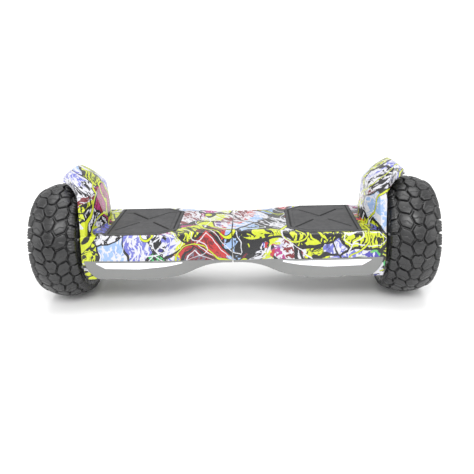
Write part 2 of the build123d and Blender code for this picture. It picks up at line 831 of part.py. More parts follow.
# ---------------------------------------------------------------- wheel
def tyre():
    """Solid tyre: flat-faced tread blocks on a broad crown, and a bead seated on the rim."""
    bead = RIM_HALF - RIM_FLANGE
    half, crown = TYRE_WIDTH / 2, WHEEL_RADIUS / cos(pi / TREAD_BLOCKS)
    with BuildPart() as rubber:
        with BuildSketch(Plane((WHEEL_X, 0, AXLE_Z), x_dir=(1, 0, 0), z_dir=(0, -1, 0))):
            with BuildLine():
                Line((0, BEAD_RADIUS), (bead, BEAD_RADIUS))
                Line((bead, BEAD_RADIUS), (bead, BEAD_RADIUS + RIM_FLANGE))
                Line((bead, BEAD_RADIUS + RIM_FLANGE), (half - 2, BEAD_RADIUS + RIM_FLANGE))
                ThreePointArc(
                    (half - 2, BEAD_RADIUS + RIM_FLANGE),
                    (half, crown - 18.2),
                    (half - 9, crown - 8.7),
                )
                ThreePointArc(
                    (half - 9, crown - 8.7),
                    ((half - 9 + TREAD_HALF) / 2 + 1.5, crown - 3),
                    (TREAD_HALF, crown),
                )
                Line((TREAD_HALF, crown), (0, crown))
                Line((0, crown), (0, BEAD_RADIUS))
            make_face()
            mirror(about=Plane.YZ)
        revolve(axis=AXLE_LINE, revolution_arc=360)
        with BuildSketch(across(WHEEL_X - half)):
            RegularPolygon(WHEEL_RADIUS, TREAD_BLOCKS, major_radius=False, rotation=180 / TREAD_BLOCKS)
        extrude(amount=TYRE_WIDTH, mode=Mode.INTERSECT)
    return rubber.part


def wheel_rim():
    low = BEAD_RADIUS - RIM_WALL
    with BuildPart() as rim:
        add(ring(WHEEL_X - RIM_HALF, 2 * RIM_HALF, BEAD_RADIUS, low))
        add(ring(WHEEL_X - RIM_HALF, RIM_FLANGE, BEAD_RADIUS + RIM_FLANGE, low))
        add(ring(WHEEL_X + RIM_HALF - RIM_FLANGE, RIM_FLANGE, BEAD_RADIUS + RIM_FLANGE, low))
        add(cover_screws(0), mode=Mode.SUBTRACT)
    return rim.part


def screw_ring(start, length, radius):
    with BuildSketch(across(start)) as sketch:
        with PolarLocations(BEAD_RADIUS - RIM_WALL / 2, COVER_SCREWS):
            Circle(radius)
    return extrude(sketch.sketch, amount=length, mode=Mode.PRIVATE)


def cover_screws(head):
    """Both rings of screws, with heads of a given height."""
    long = 4 * COVER
    with BuildPart() as screws:
        add(screw_ring(WHEEL_X + RIM_HALF + COVER - long, long, SCREW_RADIUS - 0.5))
        add(screw_ring(WHEEL_X - RIM_HALF - COVER, long, SCREW_RADIUS - 0.5))
        if head:
            add(screw_ring(WHEEL_X + RIM_HALF + COVER, head, SCREW_HEAD - 0.8))
            add(screw_ring(WHEEL_X - RIM_HALF - COVER - head, head, SCREW_HEAD - 0.8))
    return screws.part


def hub_cover(side, bearing, hole):
    """Disc on the rim's end with a boss that holds a bearing; side is 1 outside, -1 inside."""
    seat, width = bearing
    face = WHEEL_X + side * RIM_HALF
    with BuildPart() as cover:
        add(ring(face, side * COVER, BEAD_RADIUS, hole))
        add(ring(face, -side * width, seat + BOSS_WALL, seat))
        add(cover_screws(0), mode=Mode.SUBTRACT)
        with BuildSketch(across(face + side * COVER)):
            with PolarLocations(POCKET_CIRCLE, COVER_SCREWS, start_angle=180 / COVER_SCREWS):
                SlotCenterToCenter(POCKET_LENGTH, 2 * POCKET_RADIUS)
        extrude(amount=-side * POCKET_DEPTH, mode=Mode.SUBTRACT)
    return cover.part


def bearing_ring(side, bearing):
    seat, width = bearing
    return ring(WHEEL_X + side * RIM_HALF, -side * width, seat, AXLE_RADIUS + BEARING_FIT)


def magnet_ring():
    outer = BEAD_RADIUS - RIM_WALL
    face = outer - MAGNET
    with BuildPart() as magnets:
        add(ring(WHEEL_X - STACK_HALF, 2 * STACK_HALF, outer, outer - MAGNET_BACK))
        with BuildSketch(across(WHEEL_X - STACK_HALF)):
            with PolarLocations((face + outer - MAGNET_BACK / 2) / 2, MAGNETS):
                Rectangle(outer - face - MAGNET_BACK / 2, 1.6 * pi * face / MAGNETS)
            Circle(outer - MAGNET_BACK / 2, mode=Mode.INTERSECT)
            Circle(face, mode=Mode.SUBTRACT)
        extrude(amount=2 * STACK_HALF)
    return magnets.part


def stator_profile(plane):
    """Lamination: a back ring with one T-shaped tooth per slot."""
    tip = BEAD_RADIUS - RIM_WALL - MAGNET - AIR_GAP
    back = CORE_RADIUS + CORE_BACK
    pitch = 2 * pi * tip / TEETH
    with BuildSketch(plane) as sketch:
        with PolarLocations(back + (tip - back) / 2 - 1, TEETH):
            Rectangle(tip - back, TOOTH)
        with PolarLocations(tip - TOOTH_TIP / 2, TEETH):
            Rectangle(TOOTH_TIP, pitch - TIP_GAP)
        Circle(back)
        Circle(tip, mode=Mode.INTERSECT)
        Circle(CORE_RADIUS, mode=Mode.SUBTRACT)
    return sketch.sketch


def stator_core():
    profile = stator_profile(across(WHEEL_X - STACK_HALF))
    return extrude(profile, amount=2 * STACK_HALF, mode=Mode.PRIVATE)


def stator_windings():
    """Copper that fills the slots and rises past both faces of the core."""
    tip = BEAD_RADIUS - RIM_WALL - MAGNET - AIR_GAP
    half = STACK_HALF + COIL_RISE
    with BuildPart() as windings:
        add(ring(WHEEL_X - half, 2 * half, tip - 2 * TOOTH_TIP, CORE_RADIUS + CORE_BACK + 1))
        add(stator_core(), mode=Mode.SUBTRACT)
    return windings.part


def stator_carrier():
    with BuildPart() as carrier:
        add(ring(WHEEL_X - STACK_HALF, 2 * STACK_HALF, CORE_RADIUS, CORE_RADIUS - CARRIER_WEB))
        add(ring(WHEEL_X - CARRIER_WEB / 2, CARRIER_WEB, CORE_RADIUS, AXLE_RADIUS))
        add(ring(WHEEL_X - STACK_HALF, 2 * STACK_HALF, CARRIER_HUB, AXLE_RADIUS))
        with BuildSketch(across(WHEEL_X - CARRIER_WEB)):
            with PolarLocations((CORE_RADIUS + CARRIER_HUB) / 2 - 1, 6):
                Circle(CORE_BACK)
        extrude(amount=2 * CARRIER_WEB, mode=Mode.SUBTRACT)
    return carrier.part


def axle():
    with BuildPart() as pin:
        with BuildSketch(across(CLAMP_START - 2)):
            Circle(AXLE_RADIUS)
        extrude(amount=WHEEL_X + RIM_HALF - 1 - CLAMP_START + 2)
        chamfer(pin.edges().filter_by(GeomType.CIRCLE), 1)
    return pin.part


# ---------------------------------------------------------------- pack and boards
def battery_pack():
    with BuildPart() as pack:
        with BuildSketch(below(BAY_TOP)):
            with Locations((BAY_START + BAY_LENGTH / 2, 0)):
                Rectangle(BAY_LENGTH, 2 * PACK_HALF)
        extrude(amount=PACK_TALL)
        fillet(pack.edges().filter_by(Axis.X), PACK_ROUND)
    return pack.part


def main_board():
    middle = BAY_START + BAY_LENGTH / 2
    with BuildPart() as board:
        with BuildSketch(below(BAY_TOP)):
            with Locations((middle, 0)):
                Rectangle(BAY_LENGTH, 2 * BOARD_HALF)
        extrude(amount=BOARD)
        with BuildSketch(below(BAY_TOP)):
            with Locations((middle, 0)):
                Rectangle(BAY_LENGTH / 3, BOARD_HALF)
        extrude(amount=BOARD + SINK_TALL)
        with BuildSketch(below(BAY_TOP)):
            with Locations((middle - BAY_LENGTH / 3, 0)):
                with GridLocations(1, 2 * BOARD_HALF / 3, 1, 2):
                    Circle(CAPACITOR_RADIUS)
        extrude(amount=BOARD + CAPACITOR_TALL)
    return board.part


def sensor_board():
    low = PLATE_LOW + PLATE + SENSOR_STANDOFF
    with BuildPart() as board:
        with BuildSketch(level(low)):
            with Locations((BAY_START + BAY_LENGTH / 2, 0)):
                Rectangle(BAY_LENGTH, 2 * BOARD_HALF)
        extrude(amount=BOARD)
        extrude(column_sketch(level(low), COLUMN_RADIUS + 1, 1), amount=BOARD, mode=Mode.SUBTRACT)
        with BuildSketch(level(low + BOARD)):
            with stud_spots():
                Rectangle(SENSOR_SIZE, SENSOR_SIZE)
        extrude(amount=SENSOR_TALL)
    return board.part


def link_cable():
    """Bundle that lies along the bottom of the shaft's bore, from one half to the other."""
    reach = HOUSING_START + HOUSING_LENGTH + RETAINER
    with BuildPart() as cable:
        with BuildSketch(across(-reach)):
            with Locations((0, CABLE_RADIUS + FIT - SHAFT_BORE)):
                Circle(CABLE_RADIUS)
        extrude(amount=2 * reach)
    return cable.part


# ---------------------------------------------------------------- rear panel
def rear_plane(y):
    """Upright plane at a depth, facing the rear; its local x runs toward -X."""
    return Plane((0, y, AXLE_Z), x_dir=(-1, 0, 0), z_dir=(0, 1, 0))


def disc_out(x, z, start, length, radius):
    """Cylinder that points to the rear."""
    with BuildSketch(rear_plane(start)) as sketch:
        with Locations((-x, z)):
            Circle(radius)
    return extrude(sketch.sketch, amount=length, mode=Mode.PRIVATE)


def rear_panel(outer):
    """Tray let into the lower shell, with holes for the socket and the button."""
    z = PANEL_Z - PANEL_TALL / 2 + PANEL_WALL
    with BuildPart() as panel:
        add(panel_box(0, PANEL_FACE - PANEL))
        add(outer, mode=Mode.INTERSECT)
        add(panel_box(PANEL_WALL, PANEL_FACE), mode=Mode.SUBTRACT)
        with BuildSketch(rear_plane(PANEL_FACE)):
            with Locations((-PORT_X, z + KNUCKLE_RADIUS)):
                with GridLocations(2 * KNUCKLE_HALF + LUG + 0.6, 1, 2, 1):
                    Rectangle(LUG, 2 * KNUCKLE_RADIUS)
        extrude(amount=2 * KNUCKLE_RADIUS)
        add(hinge_pin(TRUNNION_RADIUS + BEARING_FIT, 2 * KNUCKLE_HALF), mode=Mode.SUBTRACT)
        through = 4 * PANEL
        add(
            disc_out(PORT_X, PANEL_Z, PANEL_FACE - through / 2, through, PORT_RADIUS + PORT_WALL),
            mode=Mode.SUBTRACT,
        )
        add(
            disc_out(BUTTON_X, PANEL_Z, PANEL_FACE - through / 2, through, BUTTON_RADIUS + FIT),
            mode=Mode.SUBTRACT,
        )
    return panel.part


def hinge_pin(radius, half):
    """Cylinder on the cap's hinge line."""
    plane = Plane(
        (PORT_X - half, PANEL_FACE + KNUCKLE_RADIUS, AXLE_Z + hinge_height()),
        x_dir=(0, 1, 0),
        z_dir=(1, 0, 0),
    )
    with BuildSketch(plane) as sketch:
        Circle(radius)
    return extrude(sketch.sketch, amount=2 * half, mode=Mode.PRIVATE)


def hinge_height():
    return PANEL_Z - PANEL_TALL / 2 + PANEL_WALL + KNUCKLE_RADIUS


def charge_socket():
    with BuildPart() as socket:
        back = PANEL_FACE + PORT_FLANGE - PORT_DEPTH
        wall = PORT_RADIUS + PORT_WALL
        add(disc_out(PORT_X, PANEL_Z, back - PORT_WALL, PORT_DEPTH + PORT_WALL - PORT_FLANGE, wall))
        add(disc_out(PORT_X, PANEL_Z, back, PORT_DEPTH, PORT_RADIUS), mode=Mode.SUBTRACT)
        with BuildSketch(rear_plane(back - 1)):
            with Locations((-PORT_X, PANEL_Z)):
                with PolarLocations(PORT_RADIUS / 2, 3):
                    Circle(0.8)
        extrude(amount=PORT_DEPTH / 2)
    return socket.part


def socket_cap():
    """Cap over the socket, hinged along its lower edge."""
    with BuildPart() as cap:
        add(disc_out(PORT_X, PANEL_Z, PANEL_FACE + FIT, CAP, CAP_RADIUS))
        add(disc_out(PORT_X, PANEL_Z, PANEL_FACE + FIT - PLUG_DEPTH, PLUG_DEPTH, PLUG_RADIUS))
        with BuildSketch(rear_plane(PANEL_FACE + FIT)):
            with Locations((-PORT_X, (PANEL_Z + hinge_height()) / 2)):
                Rectangle(2 * KNUCKLE_HALF, PANEL_Z - hinge_height())
        extrude(amount=CAP)
        add(hinge_pin(KNUCKLE_RADIUS - FIT, KNUCKLE_HALF))
        add(hinge_pin(TRUNNION_RADIUS, KNUCKLE_HALF + LUG))
        dish = disc_out(PORT_X, PANEL_Z, PANEL_FACE - 2 * PLUG_DEPTH, 2 * PLUG_DEPTH, PORT_RADIUS * 3 / 4)
        add(dish, mode=Mode.SUBTRACT)
    return cap.part


def power_button():
    with BuildPart() as button:
        back = PANEL_FACE - PANEL - FIT
        add(disc_out(BUTTON_X, PANEL_Z, back, PANEL + FIT + BUTTON_PROUD, BUTTON_RADIUS))
        add(disc_out(BUTTON_X, PANEL_Z, back - BUTTON_FLANGE, BUTTON_FLANGE, BUTTON_RADIUS + 2))
        chamfer(button.faces().sort_by(Axis.Y)[-1].edges(), 0.5)
    return button.part


def build_shells():
    outer = body_form(0, DECK_ROUND)
    inner = body_form(UPPER_WALL, DECK_ROUND - UPPER_WALL)
    below_seam = body_form(LOWER_WALL, DECK_ROUND - UPPER_WALL)
    behind = body_form(LENS_WALL, DECK_ROUND - LENS_WALL)
    save_pair(upper_shell(outer, inner, fender_form(0)), "upper_shell")
    save_pair(lamp_lens(outer, behind), "lamp_lens")
    save(lower_shell(outer, below_seam, behind, True), "right_lower_shell")
    save(mirror(lower_shell(outer, below_seam, behind, False), about=Plane.YZ), "left_lower_shell")
    save(rear_panel(outer), "rear_panel")


def build_chassis():
    save(chassis_with_posts(), "right_chassis")
    save(mirror(chassis_with_finger(), about=Plane.YZ), "left_chassis")
    save_pair(axle_clamp(), "axle_clamp")
    save_pair(clamp_bolts(), "clamp_bolts")
    save_pair(shell_screws(), "shell_screws")
    save(centre_shaft(), "centre_shaft")
    save(mirror(grub_screws(), about=Plane.YZ), "shaft_grub_screws")
    far = HOUSING_START + HOUSING_LENGTH
    bush_bore = SHAFT_RADIUS + BEARING_FIT
    save(ring(HOUSING_START, BUSH_LENGTH, BUSH_RADIUS, bush_bore), "inner_bush")
    save(ring(far - BUSH_LENGTH, BUSH_LENGTH, BUSH_RADIUS, bush_bore), "outer_bush")
    save(ring(-HOUSING_START, 2 * HOUSING_START - FIT, WASHER_RADIUS, SHAFT_RADIUS), "thrust_washer")
    save(ring(far + FIT, RETAINER, RETAINER_RADIUS, SHAFT_RADIUS), "shaft_retainer")


def build_wheels():
    save_pair(tyre(), "tyre")
    save_pair(wheel_rim(), "wheel_rim")
    save_pair(magnet_ring(), "magnet_ring")
    save_pair(hub_cover(1, OUTER_BEARING, 0), "outer_hub_cover")
    save_pair(hub_cover(-1, INNER_BEARING, AXLE_RADIUS + HOLE_GAP), "inner_hub_cover")
    save_pair(cover_screws(SCREW_HEAD_TALL - 1), "hub_screws")
    save_pair(bearing_ring(1, OUTER_BEARING), "outer_bearing")
    save_pair(bearing_ring(-1, INNER_BEARING), "inner_bearing")
    save_pair(axle(), "axle")
    save_pair(stator_carrier(), "stator_carrier")
    save_pair(stator_core(), "stator_core")
    save_pair(stator_windings(), "stator_windings")


def build_insides():
    save(mirror(battery_pack(), about=Plane.YZ), "battery_pack")
    save(main_board(), "main_board")
    save_pair(sensor_board(), "sensor_board")
    save_pair(lamp_board(), "lamp_board")
    save_pair(foot_pad(), "foot_pad")
    save(link_cable(), "link_cable")
    save(charge_socket(), "charge_socket")
    save(socket_cap(), "socket_cap")
    save(power_button(), "power_button")


os.makedirs("parts", exist_ok=True)
build_shells()
build_chassis()
build_wheels()
build_insides()
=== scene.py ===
"""Looks for the self balancing hoverboard: detailed tyres and pads, and a material for every piece."""
import math

import bmesh
import bpy
import numpy as np
from mathutils import Matrix, Vector


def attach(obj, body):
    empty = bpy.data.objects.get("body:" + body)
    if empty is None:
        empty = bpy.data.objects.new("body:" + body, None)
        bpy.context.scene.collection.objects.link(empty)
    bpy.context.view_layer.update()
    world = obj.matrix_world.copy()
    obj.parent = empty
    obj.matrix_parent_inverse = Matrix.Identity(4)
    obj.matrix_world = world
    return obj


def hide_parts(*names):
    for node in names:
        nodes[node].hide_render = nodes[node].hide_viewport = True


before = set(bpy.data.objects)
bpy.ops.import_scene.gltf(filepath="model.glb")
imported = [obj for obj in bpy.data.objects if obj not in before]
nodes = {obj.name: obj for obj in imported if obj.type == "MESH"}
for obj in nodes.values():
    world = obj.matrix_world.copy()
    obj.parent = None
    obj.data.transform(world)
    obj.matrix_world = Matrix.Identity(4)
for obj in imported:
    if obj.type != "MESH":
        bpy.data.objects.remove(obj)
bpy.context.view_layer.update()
MM = 0.001
AXLE_Z = 0.108  # height of the wheels' axis, in metres
SIDES = ((-1, "left"), (1, "right"))


# ---------------------------------------------------------------- node helpers
class Shader:
    """Small builder for a Principled material whose patterns lie in object coordinates."""

    def __init__(self, name, base=(0.5, 0.5, 0.5), rough=0.5, metal=0.0, **sockets):
        self.mat = bpy.data.materials.new(name)
        self.mat.use_nodes = True
        self.tree = self.mat.node_tree
        self.bsdf = self.tree.nodes["Principled BSDF"]
        self.set("Base Color", (*base, 1))
        self.set("Roughness", rough)
        self.set("Metallic", metal)
        for key, value in sockets.items():
            self.set(key.replace("_", " "), value)
        self.coords = self.tree.nodes.new("ShaderNodeTexCoord").outputs["Object"]
        self.height = None

    def set(self, socket, value):
        self.bsdf.inputs[socket].default_value = value

    def link(self, a, b):
        self.tree.links.new(a, b)

    def put(self, socket, output):
        self.link(output, self.bsdf.inputs[socket])

    def feed(self, socket, value):
        """Links a node's output to a socket, or sets a plain value there."""
        if hasattr(value, "is_output"):
            self.link(value, socket)
        else:
            socket.default_value = value

    def node(self, kind, vector=None, **inputs):
        n = self.tree.nodes.new(kind)
        for key, value in inputs.items():
            self.feed(n.inputs[key], value)
        if vector is not None:
            self.link(vector, n.inputs["Vector"])
        return n

    def math(self, op, *values):
        n = self.tree.nodes.new("ShaderNodeMath")
        n.operation = op
        for socket, value in zip(n.inputs, values):
            self.feed(socket, value)
        return n.outputs[0]

    def vmath(self, op, *values, scale=None):
        n = self.tree.nodes.new("ShaderNodeVectorMath")
        n.operation = op
        for socket, value in zip(n.inputs, values):
            self.feed(socket, value)
        if scale is not None:
            n.inputs["Scale"].default_value = scale
        return n.outputs[0]

    def split(self, vector):
        return self.node("ShaderNodeSeparateXYZ", vector).outputs

    def along(self, axis):
        """One object coordinate, in metres."""
        return self.split(self.coords)[axis]

    def join(self, *values):
        n = self.tree.nodes.new("ShaderNodeCombineXYZ")
        for socket, value in zip(n.inputs, values):
            self.feed(socket, value)
        return n.outputs[0]

    def noise(self, scale, detail=3.0, vector=None, rough=0.55, distortion=0.0):
        settings = {"Scale": scale, "Detail": detail, "Roughness": rough, "Distortion": distortion}
        return self.node("ShaderNodeTexNoise", vector or self.coords, **settings).outputs["Fac"]

    def voronoi(self, scale, feature="F1", vector=None, randomness=1.0):
        """A Voronoi texture's outputs."""
        n = self.node("ShaderNodeTexVoronoi", vector or self.coords, Scale=scale, Randomness=randomness)
        n.feature = feature
        return n.outputs

    def wave(self, value, rate):
        return self.math("SINE", self.math("MULTIPLY", value, rate))

    def ramp(self, fac, *stops, constant=False):
        n = self.tree.nodes.new("ShaderNodeValToRGB")
        n.color_ramp.interpolation = "CONSTANT" if constant else "LINEAR"
        while len(n.color_ramp.elements) < len(stops):
            n.color_ramp.elements.new(1.0)
        for e, (pos, colour) in zip(n.color_ramp.elements, stops):
            e.position = pos
            e.color = (*colour, 1)
        self.link(fac, n.inputs[0])
        return n.outputs[0]

    def step(self, value, low, high, to_low=0.0, to_high=1.0):
        n = self.node("ShaderNodeMapRange")
        n.clamp = True
        for socket, v in zip(n.inputs, (value, low, high, to_low, to_high)):
            self.feed(socket, v)
        return n.outputs[0]

    def mix(self, fac, a, b):
        """Colour a where fac is 0 and colour b where it is 1."""
        n = self.tree.nodes.new("ShaderNodeMix")
        n.data_type = "RGBA"
        self.feed(n.inputs[0], fac)
        for i, colour in ((6, a), (7, b)):
            self.feed(n.inputs[i], (*colour, 1) if isinstance(colour, tuple) else colour)
        return n.outputs[2]

    def bump(self, height, strength=0.3, distance=0.0005):
        n = self.node("ShaderNodeBump", Strength=strength, Distance=distance, Height=height)
        if self.height is not None:
            self.link(self.height, n.inputs["Normal"])
        self.height = n.outputs[0]
        self.put("Normal", self.height)

    def drift(self, scale, dark, light, detail=4.0):
        """Colour that drifts between a dark and a light tone."""
        return self.ramp(self.noise(scale, detail), (0.3, dark), (0.7, light))

    def vary(self, base, scale, amount):
        """Base colour that drifts lighter and darker by a share of itself."""
        dark = tuple(c * (1 - amount) for c in base)
        light = tuple(min(1.0, c * (1 + amount)) for c in base)
        self.put("Base Color", self.drift(scale, dark, light))

    def rough(self, scale, low, high, detail=3.0, vector=None):
        self.put("Roughness", self.step(self.noise(scale, detail, vector), 0.3, 0.7, low, high))

    def from_axle(self):
        """Distance from the wheels' axis, in metres."""
        y, z = self.along(1), self.along(2)
        rise = self.math("POWER", self.math("SUBTRACT", z, AXLE_Z), 2.0)
        return self.math("SQRT", self.math("ADD", self.math("MULTIPLY", y, y), rise))


def edge_wear(shader, colour_out, worn, amount=0.5):
    """Mixes in a worn colour on sharp outer edges."""
    n = shader.tree.nodes.new("ShaderNodeNewGeometry")
    edge = shader.step(n.outputs["Pointiness"], 0.52, 0.58, 0, amount)
    grit = shader.step(shader.noise(180.0, 4.0), 0.42, 0.6)
    return shader.mix(shader.math("MULTIPLY", edge, grit), colour_out, worn)


# ---------------------------------------------------------------- printed film
WHITE, BLACK = (0.56, 0.56, 0.6), (0.01, 0.01, 0.012)
YELLOW, LIME = (0.5, 0.56, 0.02), (0.3, 0.42, 0.03)
LAVENDER, SKY = (0.14, 0.15, 0.48), (0.26, 0.38, 0.6)
MAGENTA, MAROON = (0.34, 0.025, 0.16), (0.16, 0.014, 0.02)
RED, GREEN, INDIGO = (0.42, 0.025, 0.025), (0.06, 0.4, 0.12), (0.06, 0.05, 0.34)
SMOKE, PEARL = (0.12, 0.11, 0.15), (0.42, 0.4, 0.5)
SOOT, PLUM = (0.04, 0.04, 0.05), (0.2, 0.015, 0.12)
FIELD_SCALE = 17.0  # paint fields in one metre
FRONT_Y = -0.074  # the front face lies before this
ARCH_LOW, ARCH_HIGH = 0.12, 0.26  # heights between which the fenders' colours change
ARCH_Z = 0.1465  # the fenders lie above this
AREA_SHARE = 0.66  # share of the fields that take the large area's colour

# paint and ink of the small fields, each from its place up to the next
FIELD_FILL = (
    (0.0, WHITE), (0.12, YELLOW), (0.25, BLACK), (0.42, LAVENDER), (0.5, WHITE), (0.6, MAGENTA),
    (0.68, SKY), (0.74, BLACK), (0.83, MAROON), (0.92, INDIGO), (0.965, GREEN),
)
FIELD_INK = (
    (0.0, BLACK), (0.06, MAROON), (0.12, BLACK), (0.25, WHITE), (0.5, SMOKE), (0.6, MAROON),
    (0.68, WHITE), (0.74, YELLOW), (0.83, RED), (0.92, WHITE), (0.965, BLACK),
)
FIELD_SPRAY = (
    (0.0, PEARL), (0.12, LIME), (0.25, SOOT), (0.42, INDIGO), (0.5, SKY), (0.6, PLUM),
    (0.68, LAVENDER), (0.74, BLACK), (0.83, BLACK),
)
# the large colour areas: along the front, over the decks and up the fenders
FRONT_FILL = (
    (0.0, YELLOW), (0.055, SKY), (0.115, MAGENTA), (0.15, GREEN), (0.175, YELLOW), (0.235, BLACK),
    (0.295, LAVENDER), (0.345, MAGENTA), (0.385, YELLOW), (0.43, MAROON), (0.475, WHITE),
    (0.53, INDIGO), (0.565, RED), (0.61, MAGENTA), (0.655, WHITE), (0.715, YELLOW),
    (0.79, LAVENDER), (0.85, WHITE), (0.9, INDIGO), (0.94, GREEN), (0.96, YELLOW),
)
FRONT_INK = (
    (0.0, BLACK), (0.055, WHITE), (0.115, BLACK), (0.175, BLACK), (0.235, WHITE), (0.295, WHITE),
    (0.345, MAROON), (0.385, BLACK), (0.43, BLACK), (0.475, BLACK), (0.53, WHITE), (0.565, BLACK),
    (0.61, WHITE), (0.655, MAROON), (0.715, BLACK), (0.79, WHITE), (0.85, LAVENDER), (0.9, WHITE),
    (0.94, BLACK),
)
DECK_FILL = (
    (0.0, WHITE), (0.1, LAVENDER), (0.18, YELLOW), (0.27, BLACK), (0.33, MAGENTA), (0.39, YELLOW),
    (0.46, MAROON), (0.52, RED), (0.55, SKY), (0.6, BLACK), (0.66, YELLOW), (0.72, WHITE),
    (0.79, MAGENTA), (0.85, BLACK), (0.91, YELLOW), (0.96, LAVENDER),
)
ARCH_FILL = (
    (0.0, YELLOW), (0.16, WHITE), (0.3, YELLOW), (0.42, MAROON), (0.5, WHITE), (0.66, LAVENDER),
    (0.8, WHITE), (0.88, SKY),
)
ARCH_INK = (
    (0.0, BLACK), (0.42, WHITE), (0.5, BLACK), (0.66, WHITE), (0.8, LAVENDER), (0.88, WHITE),
)


def film_coordinates(s):
    """Coordinates wrapped over the shell, and the same ones pushed about and leaned."""
    x, y, z = s.split(s.coords)
    # depth and height both shift the print, so that it runs on over the shell's edges
    depth = s.math("SUBTRACT", y, s.math("MULTIPLY", z, 0.35))
    height = s.math("ADD", z, s.math("MULTIPLY", y, 0.3))
    wrap = s.join(x, depth, height)
    warp = s.node("ShaderNodeTexNoise", wrap, Scale=14.0, Detail=2.0)
    push = s.vmath("SCALE", s.vmath("SUBTRACT", warp.outputs["Color"], (0.5, 0.5, 0.5)), scale=0.055)
    x, y, z = s.split(s.vmath("ADD", wrap, push))
    return wrap, s.join(s.math("ADD", x, s.math("MULTIPLY", y, 0.35)), y, z)


def large_areas(s, wrap, ink):
    """Paint and ink of the large colour areas with torn borders. The decks take the fields' ink."""
    x, y, z = s.split(s.coords)
    torn = s.math("MULTIPLY", s.math("SUBTRACT", s.noise(16.0, 3.0, wrap, 0.6), 0.5), 0.11)
    slant = s.math("ADD", s.math("MULTIPLY", z, 0.55), torn)
    along = s.step(s.math("ADD", x, s.math("SUBTRACT", slant, 0.066)), -0.27, 0.27)
    front = s.ramp(along, *FRONT_FILL, constant=True)
    front_ink = s.ramp(along, *FRONT_INK, constant=True)
    across = s.step(s.math("ADD", s.math("SUBTRACT", x, s.math("MULTIPLY", y, 0.6)), torn), -0.3, 0.3)
    deck = s.ramp(across, *DECK_FILL, constant=True)
    height = s.math("ADD", z, s.math("ADD", torn, s.math("MULTIPLY", y, 0.35)))
    up_arch = s.step(height, ARCH_LOW, ARCH_HIGH)
    arch = s.ramp(up_arch, *ARCH_FILL, constant=True)
    arch_ink = s.ramp(up_arch, *ARCH_INK, constant=True)
    on_front = s.math("LESS_THAN", s.math("ADD", y, s.math("MULTIPLY", torn, 0.4)), FRONT_Y)
    on_arch = s.math("GREATER_THAN", z, ARCH_Z)
    fill = s.mix(on_arch, s.mix(on_front, deck, front), arch)
    return fill, s.mix(on_arch, s.mix(on_front, ink, front_ink), arch_ink)


def brush_marks(s, field, turn_by):
    """Where ink lies: slashes along a slant that differs from field to field, and dabs."""
    turn = s.node("ShaderNodeVectorRotate", field, Angle=s.step(turn_by, 0, 1, 0.5, 1.45))
    turn.rotation_type = "Z_AXIS"
    drawn = s.vmath("MULTIPLY", turn.outputs[0], (34.0, 150.0, 70.0))
    stroke = s.step(s.noise(1.0, 1.6, drawn, 0.5, 0.9), 0.515, 0.53)
    dab = s.step(s.noise(95.0, 1.5, field, 0.5, 1.6), 0.62, 0.635)
    return s.math("MAXIMUM", stroke, dab)


def outlined(s, field, chosen, paint):
    """Paint with black lines between the fields and a white inner line in some of them."""
    gap = s.voronoi(FIELD_SCALE, "DISTANCE_TO_EDGE", field)["Distance"]
    width = s.step(s.noise(30.0, 2.0, field), 0.35, 0.65, 0.012, 0.05)
    inner = s.math("MULTIPLY", s.math("GREATER_THAN", gap, 0.085), s.math("LESS_THAN", gap, 0.112))
    inner = s.math("MULTIPLY", inner, s.math("GREATER_THAN", chosen, 0.5))
    return s.mix(s.math("LESS_THAN", gap, width), s.mix(inner, paint, WHITE), BLACK)


def ribbon(s, field, paint, scale, shift, distortion, level, *bands):
    """Paint with a long ribbon along a noise's level line, in bands of (half width, colour)."""
    sweep = s.noise(scale, 0.0, s.vmath("ADD", field, shift), 0.5, distortion)
    off = s.math("ABSOLUTE", s.math("SUBTRACT", sweep, level))
    for half_width, colour in bands:
        paint = s.mix(s.math("LESS_THAN", off, half_width), paint, colour)
    return paint


def printed_film():
    """Abstract street-paint print: torn colour fields, ink outlines, brush slashes and dabs."""
    s = Shader("printed_film", rough=0.24, Coat_Weight=0.35, Coat_Roughness=0.08)
    wrap, field = film_coordinates(s)
    pick = s.split(s.voronoi(FIELD_SCALE, vector=field)["Color"])
    fill = s.ramp(pick[0], *FIELD_FILL, constant=True)
    ink = s.ramp(pick[0], *FIELD_INK, constant=True)
    area_fill, area_ink = large_areas(s, wrap, ink)
    in_area = s.math("LESS_THAN", pick[1], AREA_SHARE)
    marks = brush_marks(s, field, pick[1])
    paint = s.mix(marks, s.mix(in_area, fill, area_fill), s.mix(in_area, ink, area_ink))
    # a second tone inside each field, as if sprayed
    spray = s.step(s.noise(55.0, 6.0, field, 0.75), 0.56, 0.63, 0, 0.55)
    unmarked = s.math("SUBTRACT", 1.0, marks)
    paint = s.mix(s.math("MULTIPLY", spray, unmarked), paint, s.ramp(pick[0], *FIELD_SPRAY, constant=True))
    paint = outlined(s, field, pick[2], paint)
    paint = ribbon(s, field, paint, 9.0, (0.37, 0.11, 0.2), 0.6, 0.5, (0.019, BLACK), (0.0125, YELLOW))
    paint = ribbon(s, field, paint, 11.0, (0.9, 0.5, 0.7), 0.8, 0.47, (0.009, WHITE))
    s.put("Base Color", paint)
    s.rough(240.0, 0.2, 0.3)
    s.bump(s.noise(900.0, 2.0), 0.05, 0.0001)
    return s.mat


# ---------------------------------------------------------------- other materials
PAD_GROOVE_Z, PAD_LAND_Z = 0.1418, 0.1432  # painted shade: the pad's rubber is painted dark below the first height, in its grooves and channel
CELL_ROW = 0.0187  # metres from one row of battery cells to the next
CABLE_Z = 0.1033  # height of the link cable's middle


def satin_grey():
    s = Shader("satin_grey", rough=0.36, Coat_Weight=0.15, Coat_Roughness=0.25)
    s.vary((0.205, 0.208, 0.205), 9.0, 0.05)
    s.rough(60.0, 0.32, 0.42)
    s.bump(s.noise(1500.0, 2.0), 0.12, 0.0001)
    return s.mat


